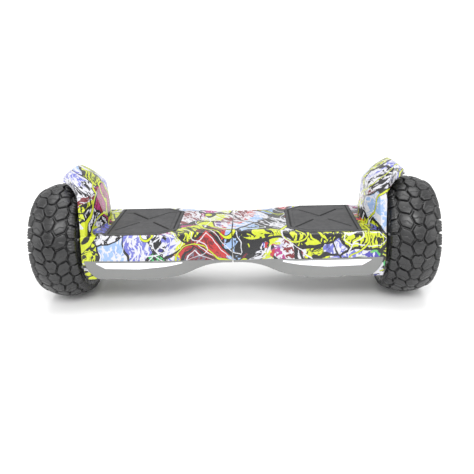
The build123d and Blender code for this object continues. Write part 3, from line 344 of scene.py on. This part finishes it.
def moulded(name, base, rough, grain=900.0, strength=0.2):
    s = Shader(name, rough=rough)
    s.vary(base, 40.0, 0.12)
    s.rough(70.0, rough - 0.06, rough + 0.08)
    s.bump(s.noise(grain, 3.0), strength, 0.0001)
    return s.mat


def tyre_rubber():
    s = Shader("tyre_rubber", rough=0.36, Specular_IOR_Level=0.68)
    dust = s.noise(38.0, 6.0, None, 0.7)
    base = s.ramp(dust, (0.3, (0.004, 0.004, 0.0045)), (0.75, (0.011, 0.011, 0.012)))
    raised = s.step(s.from_axle(), 0.094, 0.104, 0.55, 1.0)
    base = s.mix(s.math("SUBTRACT", 1.0, raised), base, (0.006, 0.006, 0.007))
    s.put("Base Color", edge_wear(s, base, (0.07, 0.07, 0.075), 0.6))
    s.put("Roughness", s.step(s.noise(55.0, 5.0, None, 0.65), 0.32, 0.68, 0.24, 0.44))
    s.bump(s.noise(420.0, 5.0, None, 0.7), 0.25, 0.0003)
    s.bump(s.noise(80.0, 3.0), 0.18, 0.0006)
    return s.mat


def pad_rubber():
    """Rubber with painted shade: darker in the pad's grooves and channel than on its field."""
    s = Shader("pad_rubber", rough=0.62, Specular_IOR_Level=0.4)
    # painted shade: the grooves and channel, below PAD_GROOVE_Z, are painted near black; the cloud only
    # varies the field's tone
    raised = s.step(s.along(2), PAD_GROOVE_Z, PAD_LAND_Z, 0.0, 1.0)
    cloud = s.step(s.noise(30.0, 5.0), 0.3, 0.7, 0.7, 1.0)
    tones = ((0.0, (0.008, 0.008, 0.009)), (0.7, (0.044, 0.044, 0.046)), (1.0, (0.062, 0.062, 0.065)))
    base = s.ramp(s.math("MULTIPLY", raised, cloud), *tones)
    s.put("Base Color", edge_wear(s, base, (0.15, 0.15, 0.155), 0.4))
    s.rough(110.0, 0.54, 0.7)
    s.bump(s.voronoi(1300.0)["Distance"], 0.25, 0.00012)
    s.bump(s.noise(500.0, 4.0), 0.2, 0.0001)
    return s.mat


def lamp_lens():
    s = Shader("lamp_lens", base=(0.93, 0.94, 0.96), rough=0.22, Coat_Weight=0.6, Coat_Roughness=0.05)
    ribs = s.math("ABSOLUTE", s.wave(s.along(0), 900.0))
    # painted shade: the lens's tone is darker along the creases between the ribs, where the bump dips
    tones = ((0.0, (0.72, 0.74, 0.78)), (0.35, (0.9, 0.91, 0.94)), (1.0, (0.96, 0.965, 0.98)))
    s.put("Base Color", s.ramp(ribs, *tones))
    s.set("Emission Color", (0.9, 0.93, 1.0, 1))
    s.set("Emission Strength", 0.2)
    s.rough(90.0, 0.18, 0.28)
    s.bump(ribs, 0.12, 0.0003)
    return s.mat


def smooth_metal(name, base, rough, brushed=None):
    """Metal with a drifting roughness; brushed stretches its grain along an axis."""
    s = Shader(name, rough=rough, metal=1.0)
    vector = s.vmath("MULTIPLY", s.coords, brushed) if brushed else s.coords
    scale = 1.0 if brushed else 220.0
    s.vary(base, 25.0, 0.1)
    s.rough(scale, rough - 0.08, rough + 0.1, 4.0, vector)
    s.bump(s.noise(scale, 4.0, vector), 0.15, 0.0001)
    return s.mat


def cast_metal(name, base, rough):
    s = Shader(name, rough=rough, metal=1.0)
    s.vary(base, 60.0, 0.16)
    s.rough(120.0, rough - 0.05, rough + 0.12)
    s.bump(s.noise(700.0, 4.0, None, 0.7), 0.35, 0.0003)
    return s.mat


def anodised(name, base):
    """Dark alloy with fine turning marks round the wheels' axis."""
    s = Shader(name, rough=0.38, metal=0.85)
    turned = s.wave(s.from_axle(), 9000.0)
    tone = s.drift(35.0, tuple(c * 0.85 for c in base), base)
    s.put("Base Color", edge_wear(s, tone, (0.4, 0.4, 0.41), 0.5))
    s.put("Roughness", s.step(turned, -1, 1, 0.32, 0.44))
    s.bump(turned, 0.06, 0.00008)
    return s.mat


def circuit():
    """Solder mask with traces and solder spots."""
    s = Shader("circuit_board", rough=0.32, Coat_Weight=0.3)
    flat = s.join(s.along(0), s.along(1), 0.0)
    edges = s.voronoi(210.0, "DISTANCE_TO_EDGE", flat, randomness=0.55)["Distance"]
    trace = s.math("LESS_THAN", edges, 0.07)
    base = s.drift(80.0, (0.008, 0.09, 0.045), (0.012, 0.13, 0.065), 3.0)
    base = s.mix(trace, base, (0.03, 0.24, 0.12))
    spots = s.math("LESS_THAN", s.voronoi(260.0, "F1", flat)["Distance"], 0.17)
    s.put("Base Color", s.mix(spots, base, (0.62, 0.6, 0.52)))
    s.put("Roughness", s.step(spots, 0, 1, 0.36, 0.2))
    s.bump(s.math("ADD", spots, trace), 0.2, 0.0001)
    return s.mat


def shrink_wrap():
    """Blue wrap over rows of round cells."""
    s = Shader("shrink_wrap", rough=0.28, Coat_Weight=0.4)
    rows = s.math("ABSOLUTE", s.wave(s.along(1), math.pi / CELL_ROW))
    s.put("Base Color", s.drift(70.0, (0.012, 0.07, 0.3), (0.02, 0.1, 0.4), 5.0))
    s.rough(180.0, 0.2, 0.36, 4.0)
    s.bump(rows, 0.6, 0.0015)
    s.bump(s.noise(160.0, 4.0, None, 0.5, 1.5), 0.4, 0.0005)
    return s.mat


def layered(name, rough, metal, tones, detail, tone_scale, rate, rough_range, strength, depth):
    """Metal in thin layers along X: the windings' wire or the core's sheets."""
    s = Shader(name, rough=rough, metal=metal)
    layers = s.wave(s.along(0), rate)
    s.put("Base Color", s.drift(tone_scale, *tones, detail))
    s.put("Roughness", s.step(layers, -1, 1, *rough_range))
    s.bump(layers, strength, depth)
    return s.mat


def copper_wire():
    tones = ((0.5, 0.17, 0.06), (0.8, 0.34, 0.14))
    return layered("copper_wire", 0.3, 1.0, tones, 3.0, 120.0, 6500.0, (0.22, 0.42), 0.5, 0.0003)


def laminated():
    tones = ((0.11, 0.11, 0.12), (0.24, 0.24, 0.25))
    return layered("laminated_iron", 0.45, 0.9, tones, 4.0, 90.0, 12000.0, (0.34, 0.56), 0.4, 0.0002)


def jacket():
    """Black jacket over twisted leads, with painted shade in the grooves between them."""
    s = Shader("cable_jacket", rough=0.5)
    x, y, z = s.split(s.coords)
    angle = s.math("ARCTAN2", s.math("SUBTRACT", z, CABLE_Z), y)
    leads = s.math("ADD", s.math("MULTIPLY", x, 260.0), s.math("MULTIPLY", angle, 3.0))
    twist = s.math("SINE", leads)
    # painted shade: the jacket is darker where the twist dips between the leads
    s.put("Base Color", s.ramp(twist, (0.2, (0.012, 0.012, 0.012)), (0.8, (0.03, 0.03, 0.03))))
    s.rough(150.0, 0.44, 0.58)
    s.bump(twist, 0.6, 0.0008)
    return s.mat


FILM, GREY, TYRE, PAD, LENS = printed_film(), satin_grey(), tyre_rubber(), pad_rubber(), lamp_lens()
CAST = cast_metal("cast_alloy", (0.56, 0.57, 0.58), 0.42)
ANODISED = anodised("hub_alloy", (0.10, 0.10, 0.108))
STEEL = smooth_metal("ground_steel", (0.58, 0.58, 0.59), 0.28, (60.0, 900.0, 900.0))
ZINC = smooth_metal("zinc_steel", (0.62, 0.62, 0.6), 0.3)
BRONZE = cast_metal("sintered_bronze", (0.58, 0.38, 0.16), 0.4)
BOARD, WRAP, COPPER, IRON, JACKET = circuit(), shrink_wrap(), copper_wire(), laminated(), jacket()
PLASTIC = moulded("black_plastic", (0.022, 0.022, 0.024), 0.42)
CAP_RUBBER = moulded("cap_rubber", (0.03, 0.03, 0.032), 0.6, 700.0, 0.3)

FINISH = {
    "upper_shell": FILM, "lower_shell": GREY, "tyre": TYRE, "foot_pad": PAD, "lamp_lens": LENS,
    "chassis": CAST, "axle_clamp": CAST, "stator_carrier": CAST,
    "wheel_rim": ANODISED, "outer_hub_cover": ANODISED, "inner_hub_cover": ANODISED,
    "axle": STEEL, "centre_shaft": STEEL, "outer_bearing": STEEL, "inner_bearing": STEEL,
    "clamp_bolts": ZINC, "shell_screws": ZINC, "hub_screws": ZINC, "shaft_grub_screws": ZINC,
    "shaft_retainer": ZINC, "inner_bush": BRONZE, "outer_bush": BRONZE, "thrust_washer": BRONZE,
    "magnet_ring": IRON, "stator_core": IRON, "stator_windings": COPPER, "battery_pack": WRAP,
    "main_board": BOARD, "sensor_board": BOARD, "lamp_board": BOARD, "link_cable": JACKET,
    "rear_panel": PLASTIC, "power_button": PLASTIC, "charge_socket": PLASTIC, "socket_cap": CAP_RUBBER,
}
for name, obj in nodes.items():
    base = name.removeprefix("left_").removeprefix("right_")
    obj.data.materials.clear()
    obj.data.materials.append(FINISH[base])


# ---------------------------------------------------------------- meshes
def mesh_object(name, vertices, faces, material, smooth=True):
    mesh = bpy.data.meshes.new(name)
    mesh.from_pydata(vertices, [], faces)
    mesh.validate()
    mesh.materials.append(material)
    obj = bpy.data.objects.new(name, mesh)
    bpy.context.scene.collection.objects.link(obj)
    if smooth:
        mesh.shade_smooth()
    return obj


def smoothstep(t):
    t = np.clip(t, 0, 1)
    return t * t * (3 - 2 * t)


def outside(distance, start, width):
    """Rises from 0 to 1 as a distance passes start, over a width."""
    return smoothstep((distance - start) / width)


def arc3(a, b, c, count):
    """Points clockwise on the circle through three points, from a to c, without c."""
    (ax, ay), (bx, by), (cx, cy) = a, b, c
    d = 2 * (ax * (by - cy) + bx * (cy - ay) + cx * (ay - by))
    ux = ((ax**2 + ay**2) * (by - cy) + (bx**2 + by**2) * (cy - ay) + (cx**2 + cy**2) * (ay - by)) / d
    uy = ((ax**2 + ay**2) * (cx - bx) + (bx**2 + by**2) * (ax - cx) + (cx**2 + cy**2) * (bx - ax)) / d
    r = math.hypot(ax - ux, ay - uy)
    start, end = (math.atan2(p[1] - uy, p[0] - ux) for p in (a, c))
    while end > start:
        end -= 2 * math.pi
    angles = np.linspace(start, end, count, endpoint=False)
    return [(ux + r * math.cos(t), uy + r * math.sin(t)) for t in angles]


# ---------------------------------------------------------------- tyres, in mm
WHEEL_X = 314.0  # from the board's middle to the middle of a tyre
CROWN, TYRE_HALF, BEAD = 108.0, 43.0, 80.0  # outer radius, half width and radius at the rim
SHOULDER_IN, SHOULDER_DROP, FLANK_DROP = 9.0, 8.7, 18.2  # in from the side, and below the crown
BEAD_IN, BEAD_RISE, SEAT_IN = 2.0, 3.0, 7.0  # the side wall's foot and the seat on the rim
TURNS, PITCHES = 840, 26  # steps round the tyre and rows of blocks
PITCH = 2 * math.pi * 104 / PITCHES
ARROW_SLOPE, ARROW_HALF = 0.42, 30.0  # each row is bent back this much, out to this far
STRETCH = 1.12  # blocks are this much narrower than they are long
BLOCK_COLUMNS = ((-44, 0.5), (-19.5, 0.0), (0, 0.5), (19.5, 0.0), (44, 0.5))  # place and phase
VOID, SIPE, CROWNING = 5.2, 0.9, 0.35  # depths between the blocks, of the sipes and of the blocks' crowning
SIPE_OFFSETS = (-5.5, 0.0, 5.5)
TREAD_HALF = 54.0  # the tread ends this far from the middle, measured along the surface


def tyre_profile():
    """Outer profile from bead to bead, as (x, radius), and the distance along it from its middle."""
    shoulder, low = TYRE_HALF - SHOULDER_IN, CROWN - SHOULDER_DROP
    foot = (TYRE_HALF - BEAD_IN, BEAD + BEAD_RISE)
    flank = (TYRE_HALF, CROWN - FLANK_DROP)
    left = arc3((-foot[0], foot[1]), (-flank[0], flank[1]), (-shoulder, low), 22)
    cap = arc3((-shoulder, low), (0, CROWN), (shoulder, low), 72)
    right = arc3((shoulder, low), flank, foot, 23)
    profile = np.array(left + cap + right + [foot])
    run = np.concatenate([[0], np.cumsum(np.hypot(*np.diff(profile, axis=0).T))])
    return profile, run - run[-1] / 2


def nearest_blocks(across, bent):
    """Nearest block's place (across, round) and distance squared, and the distance to its border."""
    best, second = np.full(across.shape, 1e9), np.full(across.shape, 1e9)
    bu, bv, su, sv = (np.zeros(across.shape) for _ in range(4))
    row = np.floor(bent / PITCH)
    for cu, phase in BLOCK_COLUMNS:
        for k in (-1, 0, 1, 2):
            cv = (row + phase + k) * PITCH
            d = ((across - cu) * STRETCH) ** 2 + (bent - cv) ** 2
            closer = d < best
            next_best = (~closer) & (d < second)
            su = np.where(closer, bu, np.where(next_best, cu, su))
            sv = np.where(closer, bv, np.where(next_best, cv, sv))
            second = np.where(closer, best, np.where(next_best, d, second))
            bu = np.where(closer, cu, bu)
            bv = np.where(closer, cv, bv)
            best = np.where(closer, d, best)
    apart = np.hypot((su - bu) * STRETCH, sv - bv) + 1e-6
    return bu, bv, best, (second - best) / (2 * apart)


def tread_drop(run):
    """How far the surface lies under the smooth profile: blocks, sipes and a ribbed side wall."""
    across, v = np.meshgrid(run, np.arange(TURNS) / TURNS * PITCHES * PITCH, indexing="ij")
    out = np.abs(across)
    bent = v + ARROW_SLOPE * out * np.where(out < ARROW_HALF, 1, ARROW_HALF / np.maximum(out, 1e-6))
    bu, bv, best, edge = nearest_blocks(across, bent)
    block = outside(edge, 1.35, 1.1)
    # three fine cuts on every side block, one bent cut on the others
    local = bent - bv
    sipe = np.zeros(across.shape)
    for offset in SIPE_OFFSETS:
        sipe = np.maximum(sipe, (out > 31) * (1 - outside(np.abs(local - offset), 0.35, 0.5)))
    bent_cut = np.abs(local - 0.55 * np.abs(across - bu))
    sipe = np.maximum(sipe, (np.abs(bu) < 25) * (1 - outside(bent_cut, 0.3, 0.45)))
    sipe *= outside(edge, 3.0, 1.5)
    on_wall = outside(out, TREAD_HALF, 3.0)
    drop = (VOID * (1 - block) + SIPE * sipe * block) * (1 - on_wall)
    drop += on_wall * (2.2 + 0.35 * np.cos(out * 2.3)) * smoothstep((run[-1] - out) / 3.0)
    # each block is crowned slightly, so that its face catches light
    return drop + (1 - on_wall) * block * CROWNING * np.clip(np.sqrt(best) / 14.0, 0, 1) ** 2


def tyre_rings(side):
    """Rings of points in metres: the outer surface, then the seat that closes it on the rim."""
    profile, run = tyre_profile()
    tangent = np.gradient(profile, axis=0)
    tangent /= np.hypot(*tangent.T)[:, None]
    drop = tread_drop(run)
    x = profile[:, :1] + tangent[:, 1:] * drop
    radius = profile[:, 1:] - tangent[:, :1] * drop
    seat = TYRE_HALF - SEAT_IN
    seat_points = ((seat, BEAD + BEAD_RISE), (seat, BEAD), (-seat, BEAD), (-seat, BEAD + BEAD_RISE))
    seat_x, seat_radius = (np.repeat(np.array(column)[:, None], TURNS, 1) for column in zip(*seat_points))
    x, radius = np.concatenate([x, seat_x]), np.concatenate([radius, seat_radius])
    theta = np.arange(TURNS) * 2 * math.pi / TURNS
    across = (side * WHEEL_X + x) * MM
    return np.stack([across, radius * np.cos(theta) * MM, radius * np.sin(theta) * MM + AXLE_Z], -1)


def tyre_mesh(side, word):
    """Off-road tyre: staggered blocks in rows bent into arrows. It has none of the CAD tyre's flats."""
    rings = tyre_rings(side)
    i = np.arange(len(rings))[:, None]
    j = np.arange(TURNS)[None, :]
    i2, j2 = (i + 1) % len(rings), (j + 1) % TURNS
    faces = np.stack([i * TURNS + j, i * TURNS + j2, i2 * TURNS + j2, i2 * TURNS + j], -1).reshape(-1, 4)
    verts = rings.reshape(-1, 3)
    mesh = bpy.data.meshes.new(word + "_tread")
    mesh.vertices.add(len(verts))
    mesh.vertices.foreach_set("co", verts.ravel())
    mesh.loops.add(len(faces) * 4)
    mesh.loops.foreach_set("vertex_index", faces.ravel())
    mesh.polygons.add(len(faces))
    mesh.polygons.foreach_set("loop_start", np.arange(len(faces)) * 4)
    mesh.update(calc_edges=True)
    mesh.validate()
    mesh.materials.append(TYRE)
    obj = bpy.data.objects.new(word + "_tread", mesh)
    bpy.context.scene.collection.objects.link(obj)
    mesh.shade_smooth()
    bm = bmesh.new()
    bm.from_mesh(mesh)
    bmesh.ops.recalc_face_normals(bm, faces=bm.faces)
    bm.to_mesh(mesh)
    bm.free()
    return obj


for side, word in SIDES:
    tread = tyre_mesh(side, word)
    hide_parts(word + "_tyre")
    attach(tread, word + "_wheel")


# ---------------------------------------------------------------- foot pads, in mm
PAD_OUTER, PAD_INNER, PAD_HALF = 226.0, 98.0, 75.0  # ends along the board and half the depth
PAD_CUT_X, PAD_CUT_Y, PAD_CORNER = 32.0, 23.0, 5.0  # slanted inner corners and their rounding
PAD_LOW, PAD_TOP = AXLE_Z * 1000 + 30.5, AXLE_Z * 1000 + 35.5
GRID = 1.0  # step of the pad's mesh
CHANNEL, GROOVE, BEVEL, LIP, CUT = 2.0, 2.6, 1.1, 0.35, 0.8  # depths, and the lips' height
STUD_X, STUD_Y, STUD_DROP = 162, 45.0, 3.3  # places along and across, and their middle's depth
STUD_TOP, STUD_LOW, STUD_LENGTH = 5, 4.6, 6.4  # radii at the top and the foot, and length


def rounded(points, radius, steps=6):
    """Outline with its corners rounded."""
    out = []
    n = len(points)
    for k in range(n):
        p, a, b = Vector(points[k]), Vector(points[k - 1]), Vector(points[(k + 1) % n])
        da, db = (a - p).normalized(), (b - p).normalized()
        angle = da.angle(db)
        cut = radius / math.tan(angle / 2)
        centre = p + (da + db).normalized() * (radius / math.sin(angle / 2))
        s, e = p + da * cut - centre, p + db * cut - centre
        for t in np.linspace(0, 1, steps):
            q = centre + s.lerp(e, t).normalized() * radius
            out.append((q[0], q[1]))
    return out


def inside_distance(px, py, outline):
    """Signed distance from points to a closed outline, positive inside."""
    pts = np.array(outline)
    inside = np.zeros(px.shape, bool)
    dist = np.full(px.shape, 1e9)
    for (ax, ay), (bx, by) in zip(pts, np.roll(pts, -1, axis=0)):
        dist = np.minimum(dist, segment_distance(px, py, (ax, ay), (bx, by)))
        crosses = ((ay > py) != (by > py)) & (px < (bx - ax) * (py - ay) / (by - ay + 1e-12) + ax)
        inside ^= crosses
    return np.where(inside, dist, -dist)


def segment_distance(px, py, a, b):
    ex, ey = b[0] - a[0], b[1] - a[1]
    t = np.clip(((px - a[0]) * ex + (py - a[1]) * ey) / (ex * ex + ey * ey), 0, 1)
    return np.hypot(px - a[0] - t * ex, py - a[1] - t * ey)


def pad_outline():
    slant_x, slant_y = PAD_INNER + PAD_CUT_X, PAD_HALF - PAD_CUT_Y
    corners = [(PAD_INNER, slant_y), (slant_x, PAD_HALF), (PAD_OUTER, PAD_HALF),
               (PAD_OUTER, -PAD_HALF), (slant_x, -PAD_HALF), (PAD_INNER, -slant_y)]
    return rounded(corners[::-1], PAD_CORNER)


def pad_grid():
    """Points over the pad with those near the border pulled onto it, and their distance inside it."""
    outline = pad_outline()
    xs = np.arange(PAD_INNER - 2, PAD_OUTER + 2.01, GRID)
    ys = np.arange(-PAD_HALF - 2, PAD_HALF + 2.01, GRID)
    gx, gy = np.meshgrid(xs, ys, indexing="ij")
    d = inside_distance(gx, gy, outline)
    eps = 0.05
    ddx = (inside_distance(gx + eps, gy, outline) - inside_distance(gx - eps, gy, outline)) / (2 * eps)
    ddy = (inside_distance(gx, gy + eps, outline) - inside_distance(gx, gy - eps, outline)) / (2 * eps)
    near = np.abs(d) < 0.62 * GRID
    return np.where(near, gx - d * ddx, gx), np.where(near, gy - d * ddy, gy), np.where(near, 0.0, d)


def groove_distance(gx, gy):
    """Distance to the nearest grip groove: a bent one behind and two slanted ones in front."""
    middle = (PAD_OUTER + PAD_INNER) / 2
    grooves = [
        [(middle - 48, 46), (middle - 36, 46), (middle, 7), (middle + 36, 46), (middle + 48, 46)],
        [(middle - 48, -50), (middle - 14, -12)],
        [(middle + 48, -50), (middle + 14, -12)],
    ]
    spans = [(a, b) for line in grooves for a, b in zip(line, line[1:])]
    return np.min([segment_distance(gx, gy, a, b) for a, b in spans], axis=0)


def pad_height(gx, gy, d):
    """Height of the pad's face: bevelled edge, rim channel, grip grooves with lips and a fine cut."""
    h = PAD_TOP - BEVEL * (1 - smoothstep(d / 1.6))
    h -= CHANNEL * outside(d, 5.2, 0.9) * (1 - outside(d, 7.6, 0.9))
    groove = groove_distance(gx, gy)
    h -= GROOVE * (1 - outside(groove, 1.5, 0.8))
    h += LIP * np.exp(-((groove - 3.6) / 1.0) ** 2)
    # a shallow cut across the inner end
    from_cut = np.abs(gx - (PAD_INNER + 14))
    return h - CUT * (1 - outside(from_cut, 0.5, 0.8)) * (np.abs(gy) < 44) * (d > 8)


def grid_faces(index):
    """Faces over a grid of vertex numbers, where -1 is no vertex."""
    faces = []
    for i in range(index.shape[0] - 1):
        for j in range(index.shape[1] - 1):
            corners = (index[i, j], index[i + 1, j], index[i + 1, j + 1], index[i, j + 1])
            face = [k for k in corners if k >= 0]
            if len(face) >= 3:
                faces.append(face)
    return faces


def pad_mesh(side, word):
    """Rubber foot pad with a rim channel, crossed grip grooves and two studs under it."""
    gx, gy, d = pad_grid()
    h = pad_height(gx, gy, d)
    keep = d > -1e-6
    index = -np.ones(gx.shape, int)
    index[keep] = np.arange(keep.sum())
    verts = [(side * a * MM, b * MM, c * MM) for a, b, c in zip(gx[keep], gy[keep], h[keep])]
    obj = mesh_object(word + "_pad", verts, grid_faces(index), PAD)
    bm = bmesh.new()
    bm.from_mesh(obj.data)
    rim = [e for e in bm.edges if e.is_boundary]
    wall = bmesh.ops.extrude_edge_only(bm, edges=rim)["geom"]
    for v in wall:
        if isinstance(v, bmesh.types.BMVert):
            v.co.z = PAD_LOW * MM
    bmesh.ops.contextual_create(bm, geom=[e for e in wall if isinstance(e, bmesh.types.BMEdge)])
    stud = {"radius1": STUD_TOP * MM, "radius2": STUD_LOW * MM, "depth": STUD_LENGTH * MM}
    for y in (-STUD_Y, STUD_Y):
        made = bmesh.ops.create_cone(bm, cap_ends=True, segments=40, **stud)
        for v in made["verts"]:
            at_x, at_y = side * STUD_X * MM + v.co.x, y * MM + v.co.y
            v.co = Vector((at_x, at_y, (PAD_LOW - STUD_DROP) * MM - v.co.z))
    bmesh.ops.recalc_face_normals(bm, faces=bm.faces)
    bm.to_mesh(obj.data)
    bm.free()
    obj.data.shade_smooth()
    return obj


for side, word in SIDES:
    pad = pad_mesh(side, word)
    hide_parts(word + "_foot_pad")
    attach(pad, word + "_foot_pad")


# ---------------------------------------------------------------- floor, light and camera
FLOOR_SIZE = 14.0
GLOW_START, GLOW_FULL = 0.45, 1.6  # the floor's glow rises between these, so that it fades to white
AIM = (0, 0, 0.1)  # what the lights point at
IMAGE_WIDTH, FOCAL_LENGTH, SENSOR = 474, 500, 36  # the first two in pixels, the sensor in mm
CAMERA_AT = (0.04596, -0.88549, 0.44727)
YAW, PITCH_DOWN, ROLL = -0.045, 0.367, -0.034


def studio_floor():
    paper = Shader("studio_paper", base=(0.9, 0.9, 0.9), rough=0.9)
    paper.put("Base Color", paper.drift(3.0, (0.9, 0.9, 0.9), (0.92, 0.92, 0.92), 3.0))
    paper.set("Emission Color", (1, 1, 1, 1))
    away = paper.vmath("LENGTH", paper.coords).node.outputs["Value"]
    paper.put("Emission Strength", paper.step(away, GLOW_START, GLOW_FULL, 0.0, 0.5))
    h = FLOOR_SIZE / 2
    corners = [(-h, -h, 0.0), (h, -h, 0.0), (h, h, 0.0), (-h, h, 0.0)]
    mesh_object("studio_floor", corners, [(0, 1, 2, 3)], paper.mat, False)


def area(name, at, size, power):
    lamp = bpy.data.lights.new(name, "AREA")
    lamp.shape = "RECTANGLE"
    lamp.size, lamp.size_y = size
    lamp.energy = power
    obj = bpy.data.objects.new(name, lamp)
    bpy.context.scene.collection.objects.link(obj)
    obj.location = at
    obj.rotation_euler = (Vector(AIM) - Vector(at)).to_track_quat("-Z", "Y").to_euler()


def studio_world():
    """White surroundings, brighter to the camera than to the object."""
    world = bpy.data.worlds.new("studio")
    world.use_nodes = True
    tree = world.node_tree
    backdrop = tree.nodes["Background"]
    backdrop.inputs[0].default_value = (1, 1, 1, 1)
    seen = tree.nodes.new("ShaderNodeLightPath")
    glow = tree.nodes.new("ShaderNodeMapRange")
    glow.inputs["To Min"].default_value = 0.82
    glow.inputs["To Max"].default_value = 1.1
    tree.links.new(seen.outputs["Is Camera Ray"], glow.inputs["Value"])
    tree.links.new(glow.outputs[0], backdrop.inputs[1])
    bpy.context.scene.world = world
    bpy.context.scene.view_settings.view_transform = "Standard"


def place_camera():
    data = bpy.data.cameras.new("camera")
    data.sensor_width = SENSOR
    data.lens = SENSOR * FOCAL_LENGTH / IMAGE_WIDTH
    camera = bpy.data.objects.new("camera", data)
    bpy.context.scene.collection.objects.link(camera)
    camera.location = CAMERA_AT
    flat = math.cos(PITCH_DOWN)
    forward = Vector((math.sin(YAW) * flat, math.cos(YAW) * flat, -math.sin(PITCH_DOWN)))
    level = Vector((math.cos(YAW), -math.sin(YAW), 0))
    up = level.cross(forward)
    right_axis = math.cos(ROLL) * level + math.sin(ROLL) * up
    up_axis = -math.sin(ROLL) * level + math.cos(ROLL) * up
    camera.rotation_euler = Matrix((right_axis, up_axis, -forward)).transposed().to_euler()
    bpy.context.scene.camera = camera


studio_floor()
area("key", (0.1, -1.7, 1.9), (1.6, 0.9), 30)
area("top", (0.0, 0.35, 2.2), (2.4, 1.6), 27)
area("fill_left", (-1.9, -0.7, 0.9), (1.2, 1.2), 9)
area("fill_right", (1.9, -0.7, 0.9), (1.2, 1.2), 9)
studio_world()
place_camera()
